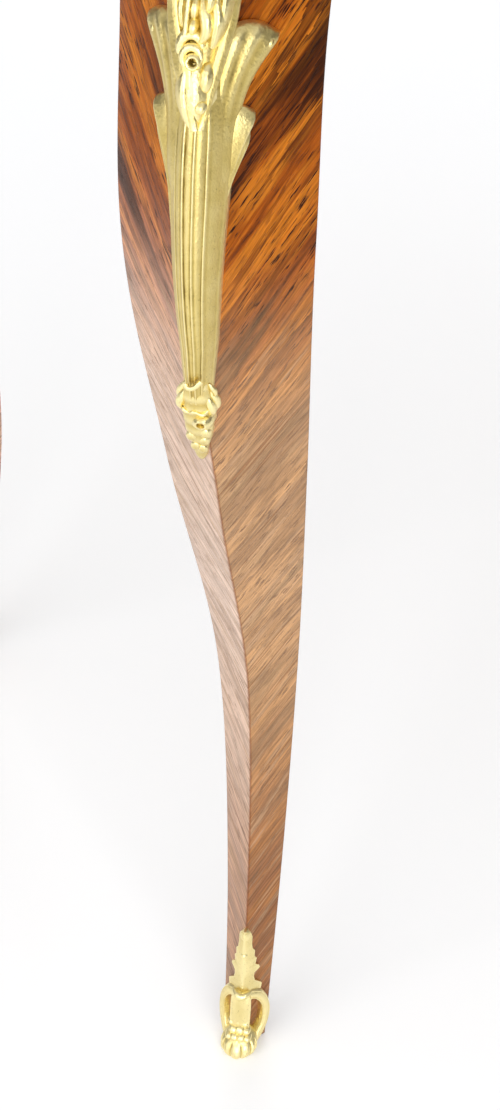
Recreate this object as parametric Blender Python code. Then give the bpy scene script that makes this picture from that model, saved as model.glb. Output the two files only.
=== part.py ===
"""Fold-over card table on four cabriole legs with gilt bronze mounts.

Metres, +Z up, the front of the table towards -Y. The origin is on the floor under the middle of the
closed table. The closed top turns a quarter turn on a pivot bolt, which uncovers the card well, and its
upper leaf then folds over on two link hinges to make a square playing surface.
"""

import math

import bmesh
import bpy
from mathutils import Vector

# Overall sizes
TABLE_HEIGHT = 0.765
TOP_DEPTH = 0.480
TOP_WIDTH = 2 * TOP_DEPTH  # the open top is square
FIT_GAP = 0.0003
ROOT_HALF = math.sqrt(0.5)

# Leaves of the top
LEAF_THICKNESS = 0.017
SERPENTINE_DEPTH = 0.012
SERPENTINE_PERIOD = 1.25
LEAF_CORNER_RADIUS = 0.018
BAIZE_THICKNESS = 0.0010
BAIZE_BORDER = 0.050
BAIZE_BACK_BORDER = 0.012
MOULDING_PROJECTION = 0.006
MOULDING_REVEAL = 0.00125  # leaf edge left bare above and below the moulding
MOULDING_HEIGHT = LEAF_THICKNESS - 2 * MOULDING_REVEAL

# Link hinges at the back corners of the leaves
PIN_SETBACK = 0.005
PIN_RADIUS = 0.0015
PIN_HEAD_RADIUS = 0.0024
PIN_HEAD_THICKNESS = 0.0012
PIN_CLEARANCE = 0.0003
HINGE_ARM_LENGTH = 0.055
HINGE_ARM_MARGIN = 0.0008  # between a hinge arm and the meeting plane
HINGE_ARM_HALF_HEIGHT = PIN_SETBACK - HINGE_ARM_MARGIN
HINGE_ARM_THICKNESS = 0.0025
LINK_THICKNESS = 0.0020
HINGE_END_GAP = 0.006  # between a hinge arm and the edge moulding
HINGE_STRAIGHT = HINGE_ARM_LENGTH + HINGE_END_GAP  # straight part of a leaf's end

# Frieze
END_OVERHANG = 0.026
FRONT_OVERHANG = 0.016
FRIEZE_HEIGHT = 0.076
RAIL_THICKNESS = 0.024
RAIL_BOW = 0.010
TENON_SHOULDER = 0.0075
TENON_WALL = 0.004  # post wood between the two tenons
FRONT_DROP = 0.022
SIDE_DROP = 0.012
RAIL_END_DROP = 0.004
DROP_SHARE = 0.42  # of a rail's half length, taken by its middle drop
END_SHARE = 0.28  # of a rail's half length, taken by its fall towards a leg
STRIP_THICKNESS = 0.0015
STRIP_WIDTH = 0.014

# Card well
BEARER_SIZE = 0.012
BEARER_RISE = 0.008
FLOOR_THICKNESS = 0.008
PARTITION_THICKNESS = 0.010
PARTITION_CLEARANCE = 0.008  # between the partition and the pivot's washer

# Swivel
PIVOT_RAIL_WIDTH = 0.060
PIVOT_RAIL_HEIGHT = 0.022
PIVOT_HOUSING = 0.008
PIVOT_PLATE_SIDE = 0.060
PIVOT_PLATE_THICKNESS = 0.003
PIVOT_BOLT_RADIUS = 0.005
PIVOT_BOLT_CLEARANCE = 0.0004
WASHER_RADIUS = 0.012
WASHER_THICKNESS = 0.002
NUT_RADIUS = 0.010
NUT_THICKNESS = 0.008
BOLT_TAIL = 0.004
STOP_PEG_RADIUS = 0.007
STOP_PEG_DROP = 0.018
STOP_PEG_SOCKET = 0.006
STOP_PEG_CLEARANCE = 0.0005

# Cabriole leg, drawn at full size on a pattern of this height and stretched to the leg
PATTERN_HEIGHT = 0.648
LEG_PATTERN = (  # height, swing of the ridge along the outward diagonal, width of each outer face
    (0.000, 0.0190, 0.0170),  # toe
    (0.100, -0.0005, 0.0210),  # ankle
    (0.240, -0.0020, 0.0290),  # shin
    (0.390, 0.0510, 0.0450),  # calf
    (0.520, 0.0870, 0.0555),  # knee
    (0.620, 0.0700, 0.0574),  # shoulder
)
POST_FOOT_SWING = 0.0625
POST_SWING = 0.0580
POST_FACE = 0.0580
POST_MARGIN = 0.004  # the post starts this far below the rails
EDGE_CHAMFER = 0.0012
LEG_ROWS = 40
POST_ROWS = 6
TENON_LENGTH = POST_FACE - RAIL_THICKNESS - TENON_WALL

# Gilt bronze knee mount: distance below the frame's top, half width, crown
CHUTE_PATTERN = (
    (0.0045, 0.0080, 0.0050),
    (0.0120, 0.0220, 0.0090),
    (0.0240, 0.0240, 0.0105),
    (0.0460, 0.0170, 0.0110),
    (0.0860, 0.0150, 0.0110),
    (0.1160, 0.0155, 0.0115),
    (0.1190, 0.0300, 0.0085),  # top edge of the large leaf
    (0.1260, 0.0330, 0.0085),
    (0.1330, 0.0260, 0.0100),
    (0.1460, 0.0180, 0.0115),
    (0.1480, 0.0240, 0.0090),  # top edge of the small leaf
    (0.1530, 0.0240, 0.0080),
    (0.1660, 0.0170, 0.0085),
    (0.1850, 0.0130, 0.0085),
    (0.2150, 0.0100, 0.0085),
    (0.2590, 0.0078, 0.0080),
    (0.2640, 0.0105, 0.0085),  # collar of the bud
    (0.2780, 0.0110, 0.0085),
    (0.2900, 0.0080, 0.0065),
    (0.3060, 0.0020, 0.0030),  # tip
)
CHUTE_REED_DEPTH = 0.0012
CHUTE_EDGE = 0.0016
CHUTE_COLUMNS = 8
MOUNT_ROW_STEP = 0.010  # longest step between rows of a mount, so that it follows the leg's curve

# Gilt bronze foot mount: height above the floor, half width, crown
SABOT_PATTERN = (
    (0.0000, 0.0140, 0.0095),
    (0.0060, 0.0160, 0.0085),
    (0.0150, 0.0165, 0.0060),
    (0.0240, 0.0140, 0.0055),
    (0.0310, 0.0100, 0.0050),
    (0.0380, 0.0062, 0.0042),
    (0.0455, 0.0042, 0.0038),
    (0.0480, 0.0080, 0.0036),
    (0.0560, 0.0052, 0.0036),
    (0.0660, 0.0028, 0.0032),
    (0.0760, 0.0008, 0.0026),
)
SABOT_EDGE = 0.0018
SABOT_COLUMNS = 8
SABOT_HOLE_OFFSET = 0.0085
SABOT_HOLE_HEIGHT = 0.0165
SABOT_HOLE_HALF_WIDTH = 0.0022
SABOT_HOLE_HALF_HEIGHT = 0.0070
MOUNT_GAP = 0.0004  # between a bronze mount and the leg under it
NORMAL_BLEND = 0.006  # half width over which a mount turns round the ridge

# Shell on the front apron
SHELL_RADIUS = 0.036
SHELL_LOBES = 9
SHELL_LOBE_CUT = 0.14  # share of the radius lost between two lobes
SHELL_LIFT = 0.28  # share of the radius that leans the shell upwards
SHELL_RISE = 0.020  # of the shell's middle above the apron's lowest point
SHELL_LEVELS = (  # share of the radius, depth in front of the rail
    (1.00, 0.0000),
    (1.00, 0.0015),
    (0.72, 0.0056),
    (0.30, 0.0080),
)
SHELL_STEPS_PER_LOBE = 4

# Segments of curved outlines
FRONT_STEPS = 22
SIDE_STEPS = 10
CORNER_STEPS = 4
ROUND_STEPS = 24
PIN_STEPS = 16
EDGE_ROUND_STEPS = 5
SHARP_ANGLE = math.radians(35)

# Levels worked out from the sizes above
MEETING_Z = TABLE_HEIGHT - LEAF_THICKNESS - FIT_GAP
LOWER_LEAF_Z = MEETING_Z - FIT_GAP - LEAF_THICKNESS
FRAME_TOP = LOWER_LEAF_Z - 2 * FIT_GAP - STRIP_THICKNESS
RAIL_FOOT = FRAME_TOP - FRIEZE_HEIGHT
POST_START = RAIL_FOOT - POST_MARGIN
FLOOR_Z = RAIL_FOOT + BEARER_RISE + BEARER_SIZE + FIT_GAP

# Plan positions worked out from the sizes above
FRIEZE_X = TOP_WIDTH / 2 - END_OVERHANG
FRIEZE_Y = TOP_DEPTH / 2 - FRONT_OVERHANG
POST_X = FRIEZE_X - POST_FACE
POST_Y = FRIEZE_Y - POST_FACE
WELL_X = FRIEZE_X - RAIL_THICKNESS
WELL_Y = FRIEZE_Y - RAIL_THICKNESS
LEG_AXIS_X = FRIEZE_X - POST_SWING * ROOT_HALF
LEG_AXIS_Y = FRIEZE_Y - POST_SWING * ROOT_HALF
HINGE_Y = TOP_DEPTH / 2  # plane between the back edges of the open leaves
PIN_Y = HINGE_Y - PIN_SETBACK
PIVOT = Vector((TOP_DEPTH / 4, TOP_DEPTH / 4, LOWER_LEAF_Z))

CORNERS = {
    "front_left": (-1, -1),
    "front_right": (1, -1),
    "back_left": (-1, 1),
    "back_right": (1, 1),
}
ENDS = {"left": -1, "right": 1}

FINISHES = {  # colour, roughness, metallic
    "rosewood_veneer": ((0.23, 0.085, 0.028), 0.22, 0.0),
    "carcase_oak": ((0.36, 0.24, 0.13), 0.6, 0.0),
    "gilt_bronze": ((0.72, 0.52, 0.18), 0.24, 1.0),
    "hinge_brass": ((0.66, 0.50, 0.22), 0.32, 1.0),
    "pivot_steel": ((0.42, 0.42, 0.43), 0.4, 1.0),
    "green_baize": ((0.03, 0.16, 0.08), 0.95, 0.0),
}


# Building blocks


def clear_scene():
    for found in list(bpy.data.objects):
        bpy.data.objects.remove(found)


def finish(name):
    found = bpy.data.materials.get(name)
    if found:
        return found
    colour, roughness, metallic = FINISHES[name]
    made = bpy.data.materials.new(name)
    made.use_nodes = True
    shader = made.node_tree.nodes["Principled BSDF"]
    shader.inputs["Base Color"].default_value = (*colour, 1.0)
    shader.inputs["Roughness"].default_value = roughness
    shader.inputs["Metallic"].default_value = metallic
    return made


def add_axis(name, place, parent=None):
    """An empty on a joint's axis. Its moving pieces are its children."""
    made = bpy.data.objects.new(name, None)
    made.location = Vector(place) - (parent["place"] if parent else Vector())
    bpy.context.scene.collection.objects.link(made)
    if parent:
        made.parent = parent["empty"]
    return {"empty": made, "place": Vector(place)}


def add_piece(name, mesh, finish_name, origin, axis=None):
    """One named object. The mesh is given in world places and is moved to the object's own origin."""
    origin = Vector(origin)
    for vertex in mesh.vertices:
        vertex.co -= origin
    mesh.shade_smooth()
    mesh.set_sharp_from_angle(angle=SHARP_ANGLE)
    mesh.materials.append(finish(finish_name))
    made = bpy.data.objects.new(name, mesh)
    bpy.context.scene.collection.objects.link(made)
    made.location = origin - (axis["place"] if axis else Vector())
    if axis:
        made.parent = axis["empty"]
    return made


def cut(piece, name, mesh):
    """Takes a hidden cutter, given in world places, out of a piece."""
    cutter = bpy.data.objects.new(name, mesh)
    bpy.context.scene.collection.objects.link(cutter)
    cutter.hide_render = True
    cutter.display_type = "WIRE"
    modifier = piece.modifiers.new(name, "BOOLEAN")
    modifier.operation = "DIFFERENCE"
    modifier.solver = "EXACT"
    modifier.object = cutter


def mesh_of(name, points, faces):
    made = bmesh.new()
    corners = [made.verts.new(point) for point in points]
    for face in faces:
        made.faces.new([corners[i] for i in face])
    bmesh.ops.recalc_face_normals(made, faces=made.faces)
    mesh = bpy.data.meshes.new(name)
    made.to_mesh(mesh)
    made.free()
    return mesh


def loft(name, *bodies):
    """A mesh of one or more closed bodies, each a list of rings with equal counts and flat ends."""
    points = []
    faces = []
    for rings in bodies:
        start = len(points)
        count = len(rings[0])
        for ring in rings:
            points.extend(ring)
        for row in range(len(rings) - 1):
            for i in range(count):
                j = (i + 1) % count
                low = start + row * count
                faces.append((low + i, low + j, low + count + j, low + count + i))
        faces.append([start + i for i in range(count)])
        faces.append([start + (len(rings) - 1) * count + i for i in range(count)])
    return mesh_of(name, points, faces)


def box_rings(low, high):
    """The two rings of a box, for loft."""
    return [
        [(low[0], low[1], z), (high[0], low[1], z), (high[0], high[1], z), (low[0], high[1], z)]
        for z in (low[2], high[2])
    ]


def box(name, low, high):
    return loft(name, box_rings(low, high))


def plate(outline, low, high):
    """Rings of an outline in plan, extruded along Z."""
    return [[(x, y, z) for x, y in outline] for z in (low, high)]


def end_plate(outline, low, high):
    """Rings of an outline in Y and Z, extruded along X."""
    return [[(x, y, z) for y, z in outline] for x in (low, high)]


def circle(centre, radius, steps):
    turns = [2 * math.pi * i / steps for i in range(steps)]
    return [(centre[0] + radius * math.cos(turn), centre[1] + radius * math.sin(turn)) for turn in turns]


def stadium(first, second, radius, steps):
    """Outline with round ends about two centres."""
    along = math.atan2(second[1] - first[1], second[0] - first[0])
    outline = []
    for centre, start in ((second, along - math.pi / 2), (first, along + math.pi / 2)):
        for i in range(steps + 1):
            turn = start + math.pi * i / steps
            outline.append((centre[0] + radius * math.cos(turn), centre[1] + radius * math.sin(turn)))
    return outline


def smooth_step(share):
    share = min(1.0, max(0.0, share))
    return share * share * (3 - 2 * share)


def curve_through(places, values, place):
    """Smooth curve through hand-placed stations, with finite-difference slopes."""
    gaps = [b - a for a, b in zip(places, places[1:])]
    rises = [(b - a) / gap for a, b, gap in zip(values, values[1:], gaps)]
    slopes = [
        (rises[i - 1] * gaps[i] + rises[i] * gaps[i - 1]) / (gaps[i - 1] + gaps[i])
        for i in range(1, len(rises))
    ]
    slopes = [1.5 * rises[0] - 0.5 * slopes[0], *slopes, 1.5 * rises[-1] - 0.5 * slopes[-1]]
    i = max(n for n in range(len(gaps)) if n == 0 or place >= places[n])
    t = (place - places[i]) / gaps[i]
    return (
        (1 + 2 * t) * (1 - t) ** 2 * values[i]
        + t * (1 - t) ** 2 * gaps[i] * slopes[i]
        + t * t * (3 - 2 * t) * values[i + 1]
        + t * t * (t - 1) * gaps[i] * slopes[i + 1]
    )


# Shape of the cabriole leg


def post_face(swing):
    """Face width that keeps the post's inner faces in one upright plane."""
    return POST_FACE + (swing - POST_SWING) * ROOT_HALF


LEG_STATIONS = [
    (height * POST_START / PATTERN_HEIGHT, swing, face) for height, swing, face in LEG_PATTERN
] + [
    (POST_START, POST_FOOT_SWING, post_face(POST_FOOT_SWING)),
    (FRAME_TOP, POST_SWING, POST_FACE),
]
STATION_HEIGHTS, STATION_SWINGS, STATION_FACES = zip(*LEG_STATIONS)


def ridge_swing(z):
    return curve_through(STATION_HEIGHTS, STATION_SWINGS, z)


def face_width(z):
    if z >= POST_START:
        return post_face(ridge_swing(z))
    return curve_through(STATION_HEIGHTS, STATION_FACES, z)


def leg_point(corner, along_x, along_y, z):
    """World place of a point given by its distances from the ridge along the front and end faces."""
    out = ridge_swing(z) * ROOT_HALF
    return (
        corner[0] * (LEG_AXIS_X + out - along_x),
        corner[1] * (LEG_AXIS_Y + out - along_y),
        z,
    )


def mount_point(corner, across, stand_off, z):
    """World place on a mount that wraps the ridge: across is signed, positive on the front or back face."""
    share = smooth_step(across / NORMAL_BLEND / 2 + 0.5)
    length = math.hypot(share, 1 - share)
    return leg_point(
        corner,
        max(across, 0.0) - stand_off * (1 - share) / length,
        max(-across, 0.0) - stand_off * share / length,
        z,
    )


def leg_ring(corner, z):
    face = face_width(z)
    c = EDGE_CHAMFER
    outline = (
        (c, 0), (face - c, 0), (face, c), (face, face - c),
        (face - c, face), (c, face), (0, face - c), (0, c),
    )
    return [leg_point(corner, along_x, along_y, z) for along_x, along_y in outline]


def leg_rows():
    """Heights of the leg's rings: even rows up to the post, then the post's own."""
    shaped = [POST_START * row / LEG_ROWS for row in range(LEG_ROWS + 1)]
    post = [POST_START + (FRAME_TOP - POST_START) * row / POST_ROWS for row in range(1, POST_ROWS + 1)]
    return shaped + post


def tenon_limits():
    """Depths behind the rail's face and heights that the tenons fill."""
    return (
        TENON_SHOULDER,
        RAIL_THICKNESS - TENON_SHOULDER,
        RAIL_FOOT + TENON_SHOULDER,
        FRAME_TOP - TENON_SHOULDER,
    )


def mortise_rings(corner):
    """The two mortises of a leg's post, for the tenons of the long rail and of the end rail."""
    near, far, low, high = tenon_limits()
    g = FIT_GAP
    reach = TENON_LENGTH + 2 * g
    x_in, y_in = corner[0] * (POST_X - 2 * g), corner[1] * (POST_Y - 2 * g)
    x_end, y_end = corner[0] * (POST_X + reach), corner[1] * (POST_Y + reach)
    x_faces = [corner[0] * (FRIEZE_X - near + g), corner[0] * (FRIEZE_X - far - g)]
    y_faces = [corner[1] * (FRIEZE_Y - near + g), corner[1] * (FRIEZE_Y - far - g)]
    long_rail = box_rings((x_in, y_faces[0], low - g), (x_end, y_faces[1], high + g))
    end_rail = box_rings((x_faces[0], y_in, low - g), (x_faces[1], y_end, high + g))
    return long_rail, end_rail


def build_legs():
    for name, corner in CORNERS.items():
        rings = [leg_ring(corner, z) for z in leg_rows()]
        origin = (corner[0] * LEG_AXIS_X, corner[1] * LEG_AXIS_Y, 0)
        leg = add_piece(f"leg_{name}", loft("leg", rings), "rosewood_veneer", origin)
        cut(leg, f"mortises_{name}", loft("mortises", *mortise_rings(corner)))


# Gilt bronze mounts of the legs


def close_rows(pattern):
    """The rows of a mount's pattern, with even rows added where two are far apart."""
    rows = [pattern[0]]
    for first, second in zip(pattern, pattern[1:]):
        steps = math.ceil(abs(second[0] - first[0]) / MOUNT_ROW_STEP)
        for i in range(1, steps + 1):
            rows.append([a + (b - a) * i / steps for a, b in zip(first, second)])
    return rows


def chute_relief(share, crown):
    """Height of the knee mount above the wood, with reeds along its length."""
    rounded = math.sqrt(max(0.0, 1 - share * share))
    reed = CHUTE_REED_DEPTH * math.cos(share * math.pi * CHUTE_COLUMNS / 2) * rounded
    return MOUNT_GAP + CHUTE_EDGE + (crown - CHUTE_EDGE) * rounded + reed


def sabot_relief(share, crown):
    rounded = math.sqrt(max(0.0, 1 - share * share))
    return MOUNT_GAP + SABOT_EDGE + (crown - SABOT_EDGE) * rounded


def mount_ring(corner, z, half_width, crown, columns, relief):
    """Closed ring through a mount: its outer relief, then its back along the wood."""
    shares = [2 * i / columns - 1 for i in range(columns + 1)]
    outer = [
        mount_point(corner, share * half_width, relief(share, crown), z) for share in shares
    ]
    back = [mount_point(corner, across, MOUNT_GAP, z) for across in (half_width, 0.0, -half_width)]
    return outer + back


def build_chutes():
    for name, corner in CORNERS.items():
        rings = [
            mount_ring(corner, FRAME_TOP - below, half_width, crown, CHUTE_COLUMNS, chute_relief)
            for below, half_width, crown in close_rows(CHUTE_PATTERN)
        ]
        origin = mount_point(corner, 0.0, MOUNT_GAP, FRAME_TOP - CHUTE_PATTERN[0][0])
        add_piece(f"chute_{name}", loft("chute", rings), "gilt_bronze", origin)


def sabot_holes(corner):
    """Cutters for the two openings beside the toe, one through each face of the mount."""
    z = SABOT_HOLE_HEIGHT
    ellipse = [
        (SABOT_HOLE_OFFSET + SABOT_HOLE_HALF_WIDTH * c, z + SABOT_HOLE_HALF_HEIGHT * s)
        for c, s in circle((0, 0), 1.0, PIN_STEPS)
    ]
    outside, inside = 2 * SABOT_PATTERN[0][2], -MOUNT_GAP
    x, y, _ = leg_point(corner, 0.0, 0.0, z)
    front = [
        [(x - corner[0] * a, y + corner[1] * level, h) for a, h in ellipse] for level in (inside, outside)
    ]
    end = [
        [(x + corner[0] * level, y - corner[1] * a, h) for a, h in ellipse] for level in (inside, outside)
    ]
    return front, end


def build_sabots():
    for name, corner in CORNERS.items():
        rings = [
            mount_ring(corner, height, half_width, crown, SABOT_COLUMNS, sabot_relief)
            for height, half_width, crown in close_rows(SABOT_PATTERN)
        ]
        origin = mount_point(corner, 0.0, MOUNT_GAP, 0.0)
        sabot = add_piece(f"sabot_{name}", loft("sabot", rings), "gilt_bronze", origin)
        cut(sabot, f"sabot_holes_{name}", loft("sabot_holes", *sabot_holes(corner)))


# Frieze


def apron_edge(share, drop):
    """Lower edge of a rail: a drop at its middle and a short fall towards the legs."""
    middle = smooth_step(1 - abs(share) / DROP_SHARE)
    end = smooth_step((abs(share) - 1 + END_SHARE) / END_SHARE)
    return RAIL_FOOT + RAIL_END_DROP * (1 - end) - (drop + RAIL_END_DROP) * middle


def rail_rings(half_length, face, bow, drop, steps, place):
    """Rings along a rail from tenon to tenon. place turns along, depth and height into a world place."""
    near, far, low, high = tenon_limits()
    shoulder = half_length - FIT_GAP

    def ring(along, front, back, foot, top):
        return [place(along, d, z) for d, z in ((front, foot), (front, top), (back, top), (back, foot))]

    def tenon(end):
        tip = end * (half_length + TENON_LENGTH)
        return [ring(at, face - near, face - far, low, high) for at in (tip, end * shoulder)]

    body = []
    for i in range(steps + 1):
        share = 2 * i / steps - 1
        swell = bow * (1 + math.cos(math.pi * share)) / 2
        body.append(
            ring(share * shoulder, face + swell, face - RAIL_THICKNESS, apron_edge(share, drop), FRAME_TOP)
        )
    return [*tenon(-1), *body, *reversed(tenon(1))]


def pivot_housing(y_side):
    """Cutter for the notch that takes one end of the pivot rail."""
    half = PIVOT_RAIL_WIDTH / 2 + FIT_GAP
    y_in, y_out = y_side * (WELL_Y - PIVOT_HOUSING), y_side * (WELL_Y + PIVOT_HOUSING + FIT_GAP)
    low = FRAME_TOP - PIVOT_RAIL_HEIGHT - FIT_GAP
    high = FRAME_TOP + PIVOT_RAIL_HEIGHT
    return box("pivot_housing", (PIVOT.x - half, y_in, low), (PIVOT.x + half, y_out, high))


def build_rails():
    for name, side, bow, drop in (("front", -1, RAIL_BOW, FRONT_DROP), ("back", 1, 0.0, 0.0)):

        def long_place(along, depth, z):
            return (along, side * depth, z)

        rings = rail_rings(POST_X, FRIEZE_Y, bow, drop, FRONT_STEPS, long_place)
        origin = (0, side * FRIEZE_Y, FRAME_TOP)
        rail = add_piece(f"{name}_rail", loft("rail", rings), "rosewood_veneer", origin)
        cut(rail, f"pivot_housing_{name}", pivot_housing(side))
    for name, side in ENDS.items():

        def end_place(along, depth, z):
            return (side * depth, along, z)

        rings = rail_rings(POST_Y, FRIEZE_X, RAIL_BOW, SIDE_DROP, SIDE_STEPS, end_place)
        origin = (side * FRIEZE_X, 0, FRAME_TOP)
        add_piece(f"{name}_rail", loft("rail", rings), "rosewood_veneer", origin)


def build_slide_strips():
    """Baize strips on the rails, which carry the turning leaf."""
    low, high = FRAME_TOP + FIT_GAP, FRAME_TOP + FIT_GAP + STRIP_THICKNESS
    inset = (RAIL_THICKNESS - STRIP_WIDTH) / 2
    for name, side in (("front", -1), ("back", 1)):
        edges = sorted((side * (FRIEZE_Y - inset), side * (FRIEZE_Y - inset - STRIP_WIDTH)))
        strip = box("strip", (-POST_X, edges[0], low), (POST_X, edges[1], high))
        add_piece(f"slide_strip_{name}", strip, "green_baize", (0, side * FRIEZE_Y, low))
    for name, side in ENDS.items():
        edges = sorted((side * (FRIEZE_X - inset), side * (FRIEZE_X - inset - STRIP_WIDTH)))
        strip = box("strip", (edges[0], -POST_Y, low), (edges[1], POST_Y, high))
        add_piece(f"slide_strip_{name}", strip, "green_baize", (side * FRIEZE_X, 0, low))


def build_card_well():
    """Floor of the well, notched round the left posts, on two bearers, and a partition by the pivot."""
    g = FIT_GAP
    left, right = g - WELL_X, PIVOT.x - WASHER_RADIUS - PARTITION_CLEARANCE
    notch_x, notch_y, y = g - POST_X, POST_Y - g, WELL_Y - g
    outline = [
        (notch_x, -y), (right, -y), (right, y), (notch_x, y),
        (notch_x, notch_y), (left, notch_y), (left, -notch_y), (notch_x, -notch_y),
    ]
    floor_top = FLOOR_Z + FLOOR_THICKNESS
    floor = loft("floor", plate(outline, FLOOR_Z, floor_top))
    add_piece("well_floor", floor, "carcase_oak", (0, 0, FLOOR_Z))
    partition_top = FRAME_TOP - PIVOT_RAIL_HEIGHT - g
    partition = box("partition", (right - PARTITION_THICKNESS, -y, floor_top + g), (right, y, partition_top))
    add_piece("well_partition", partition, "carcase_oak", (right, 0, floor_top + g))
    low = RAIL_FOOT + BEARER_RISE
    for name, side in (("front", -1), ("back", 1)):
        edges = sorted((side * y, side * (y - BEARER_SIZE)))
        bearer = box("bearer", (notch_x, edges[0], low), (right, edges[1], low + BEARER_SIZE))
        add_piece(f"{name}_bearer", bearer, "carcase_oak", (0, side * y, low))


def build_apron_shell():
    """Fan of lobes on the middle of the front rail, made as rings from its back to its crown."""
    count = SHELL_LOBES * SHELL_STEPS_PER_LOBE
    middle_z = RAIL_FOOT - FRONT_DROP + SHELL_RISE
    back = FRIEZE_Y + RAIL_BOW + FIT_GAP
    rings = []
    for share, depth in SHELL_LEVELS:
        ring = []
        for i in range(count):
            turn = 2 * math.pi * i / count
            lobe = 1 - SHELL_LOBE_CUT * (1 - abs(math.cos(turn * SHELL_LOBES / 2)))
            lift = 1 - SHELL_LIFT * (1 - math.sin(turn))
            radius = SHELL_RADIUS * share * lift * lobe
            ring.append((radius * math.cos(turn), -back - depth, middle_z + radius * math.sin(turn)))
        rings.append(ring)
    add_piece("apron_shell", loft("shell", rings), "gilt_bronze", (0, -back, middle_z))


# Top


def serpentine(share):
    return SERPENTINE_DEPTH * (1 - math.cos(2 * math.pi * share / SERPENTINE_PERIOD)) / 2


def leaf_outline(inset=0.0, back=HINGE_Y - FIT_GAP, straight=HINGE_STRAIGHT):
    """Plan of a closed leaf from its left back corner, round the front, to its right back corner."""
    half_x, half_y = TOP_WIDTH / 2 - inset, TOP_DEPTH / 2 - inset
    corner = serpentine(1.0)
    radius = LEAF_CORNER_RADIUS
    arc = Vector((half_x - corner - radius, half_y - corner - radius))
    right = []
    for i in range(FRONT_STEPS // 2 + 1):
        share = 2 * i / FRONT_STEPS
        right.append((arc.x * share, -half_y + serpentine(share * arc.x / half_x)))
    for i in range(1, CORNER_STEPS):
        turn = math.pi / 2 * i / CORNER_STEPS
        right.append((arc.x + radius * math.sin(turn), -arc.y - radius * math.cos(turn)))
    side_length = half_y + back
    for i in range(SIDE_STEPS + 1):
        y = -arc.y + (back - straight + arc.y) * i / SIDE_STEPS
        share = (back - straight - y) / (side_length - straight)
        right.append((half_x - serpentine(share), y))
    right.append((half_x, back))
    left = [(-x, y) for x, y in reversed(right[1:])]
    return left + right


def round_back_edge(mesh, z):
    """Rounds the leaf's inner back edge about its hinge pins, so that the two leaves roll on each other."""
    made = bmesh.new()
    made.from_mesh(mesh)
    back = HINGE_Y - FIT_GAP
    near = FIT_GAP / 3
    on_edge = {v for v in made.verts if abs(v.co.z - z) < near and abs(v.co.y - back) < near}
    edges = [edge for edge in made.edges if on_edge.issuperset(edge.verts)]
    bmesh.ops.bevel(
        made,
        geom=edges,
        offset=PIN_SETBACK - FIT_GAP,
        segments=EDGE_ROUND_STEPS,
        profile=0.5,
        affect="EDGES",
        clamp_overlap=False,
    )
    made.to_mesh(mesh)
    made.free()


def baize_outline(gap):
    back = HINGE_Y - BAIZE_BACK_BORDER - gap
    return leaf_outline(BAIZE_BORDER + gap, back, HINGE_STRAIGHT - BAIZE_BACK_BORDER)


def cut_hinge_seats(leaf, leaf_name, side_of_plane):
    """Seats for the hinge arms in both ends of a leaf, open to its back edge and its inner face."""
    pin_z = MEETING_Z + side_of_plane * PIN_SETBACK
    far_z = pin_z + side_of_plane * (HINGE_ARM_HALF_HEIGHT + FIT_GAP)
    open_z = MEETING_Z - side_of_plane * PIN_SETBACK
    low, high = sorted((far_z, open_z))
    for end_name, end in ENDS.items():
        x_in = end * (TOP_WIDTH / 2 - HINGE_ARM_THICKNESS - FIT_GAP)
        x_out = end * (TOP_WIDTH / 2 + HINGE_ARM_THICKNESS)
        x_low, x_high = sorted((x_in, x_out))
        seat = box(
            "hinge_seat",
            (x_low, HINGE_Y - HINGE_ARM_LENGTH - FIT_GAP, low),
            (x_high, HINGE_Y + PIN_SETBACK, high),
        )
        cut(leaf, f"{leaf_name}_{end_name}_hinge_seat", seat)


def moulding_profile():
    """Section of the edge moulding: distance out from the leaf's edge and height, as an ogee."""
    p, h, g = MOULDING_PROJECTION, MOULDING_HEIGHT, FIT_GAP
    return [
        (g, 0.0), (0.45 * p, 0.0), (0.70 * p, 0.12 * h), (0.62 * p, 0.26 * h),
        (0.94 * p, 0.44 * h), (p, 0.60 * h), (0.90 * p, 0.80 * h), (0.55 * p, h), (g, h),
    ]


def moulding_rings(foot):
    """The moulding's section carried round the front and ends of a leaf, short of the hinge arms."""
    edge = leaf_outline()[1:-1]
    rings = []
    for i, (x, y) in enumerate(edge):
        before, after = edge[max(i - 1, 0)], edge[min(i + 1, len(edge) - 1)]
        run = Vector((after[0] - before[0], after[1] - before[1])).normalized()
        out = Vector((run.y, -run.x)) if 0 < i < len(edge) - 1 else Vector((math.copysign(1, x), 0))
        if out.dot(Vector((x, y))) < 0:
            out = -out
        rings.append([(x + out.x * o, y + out.y * o, foot + z) for o, z in moulding_profile()])
    return rings


def build_leaf(name, low, inner_z, side_of_plane, axis):
    """A leaf of the top with its baize, hinge seats and edge moulding."""
    mesh = loft("leaf", plate(leaf_outline(), low, low + LEAF_THICKNESS))
    round_back_edge(mesh, inner_z)
    leaf = add_piece(f"{name}_leaf", mesh, "rosewood_veneer", (0, HINGE_Y, inner_z), axis)
    recess = BAIZE_THICKNESS + 2 * FIT_GAP
    levels = sorted((inner_z + side_of_plane * recess, inner_z - side_of_plane * recess))
    cut(leaf, f"{name}_baize_recess", loft("recess", plate(baize_outline(0.0), *levels)))
    near = inner_z + side_of_plane * FIT_GAP
    levels = sorted((near, near + side_of_plane * BAIZE_THICKNESS))
    baize = loft("baize", plate(baize_outline(FIT_GAP), *levels))
    add_piece(f"{name}_baize", baize, "green_baize", (0, HINGE_Y, inner_z), axis)
    cut_hinge_seats(leaf, name, side_of_plane)
    foot = low + (LEAF_THICKNESS - MOULDING_HEIGHT) / 2
    moulding = loft("moulding", moulding_rings(foot))
    add_piece(f"{name}_edge_moulding", moulding, "gilt_bronze", (0, 0, foot), axis)
    return leaf


# Link hinges


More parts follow.
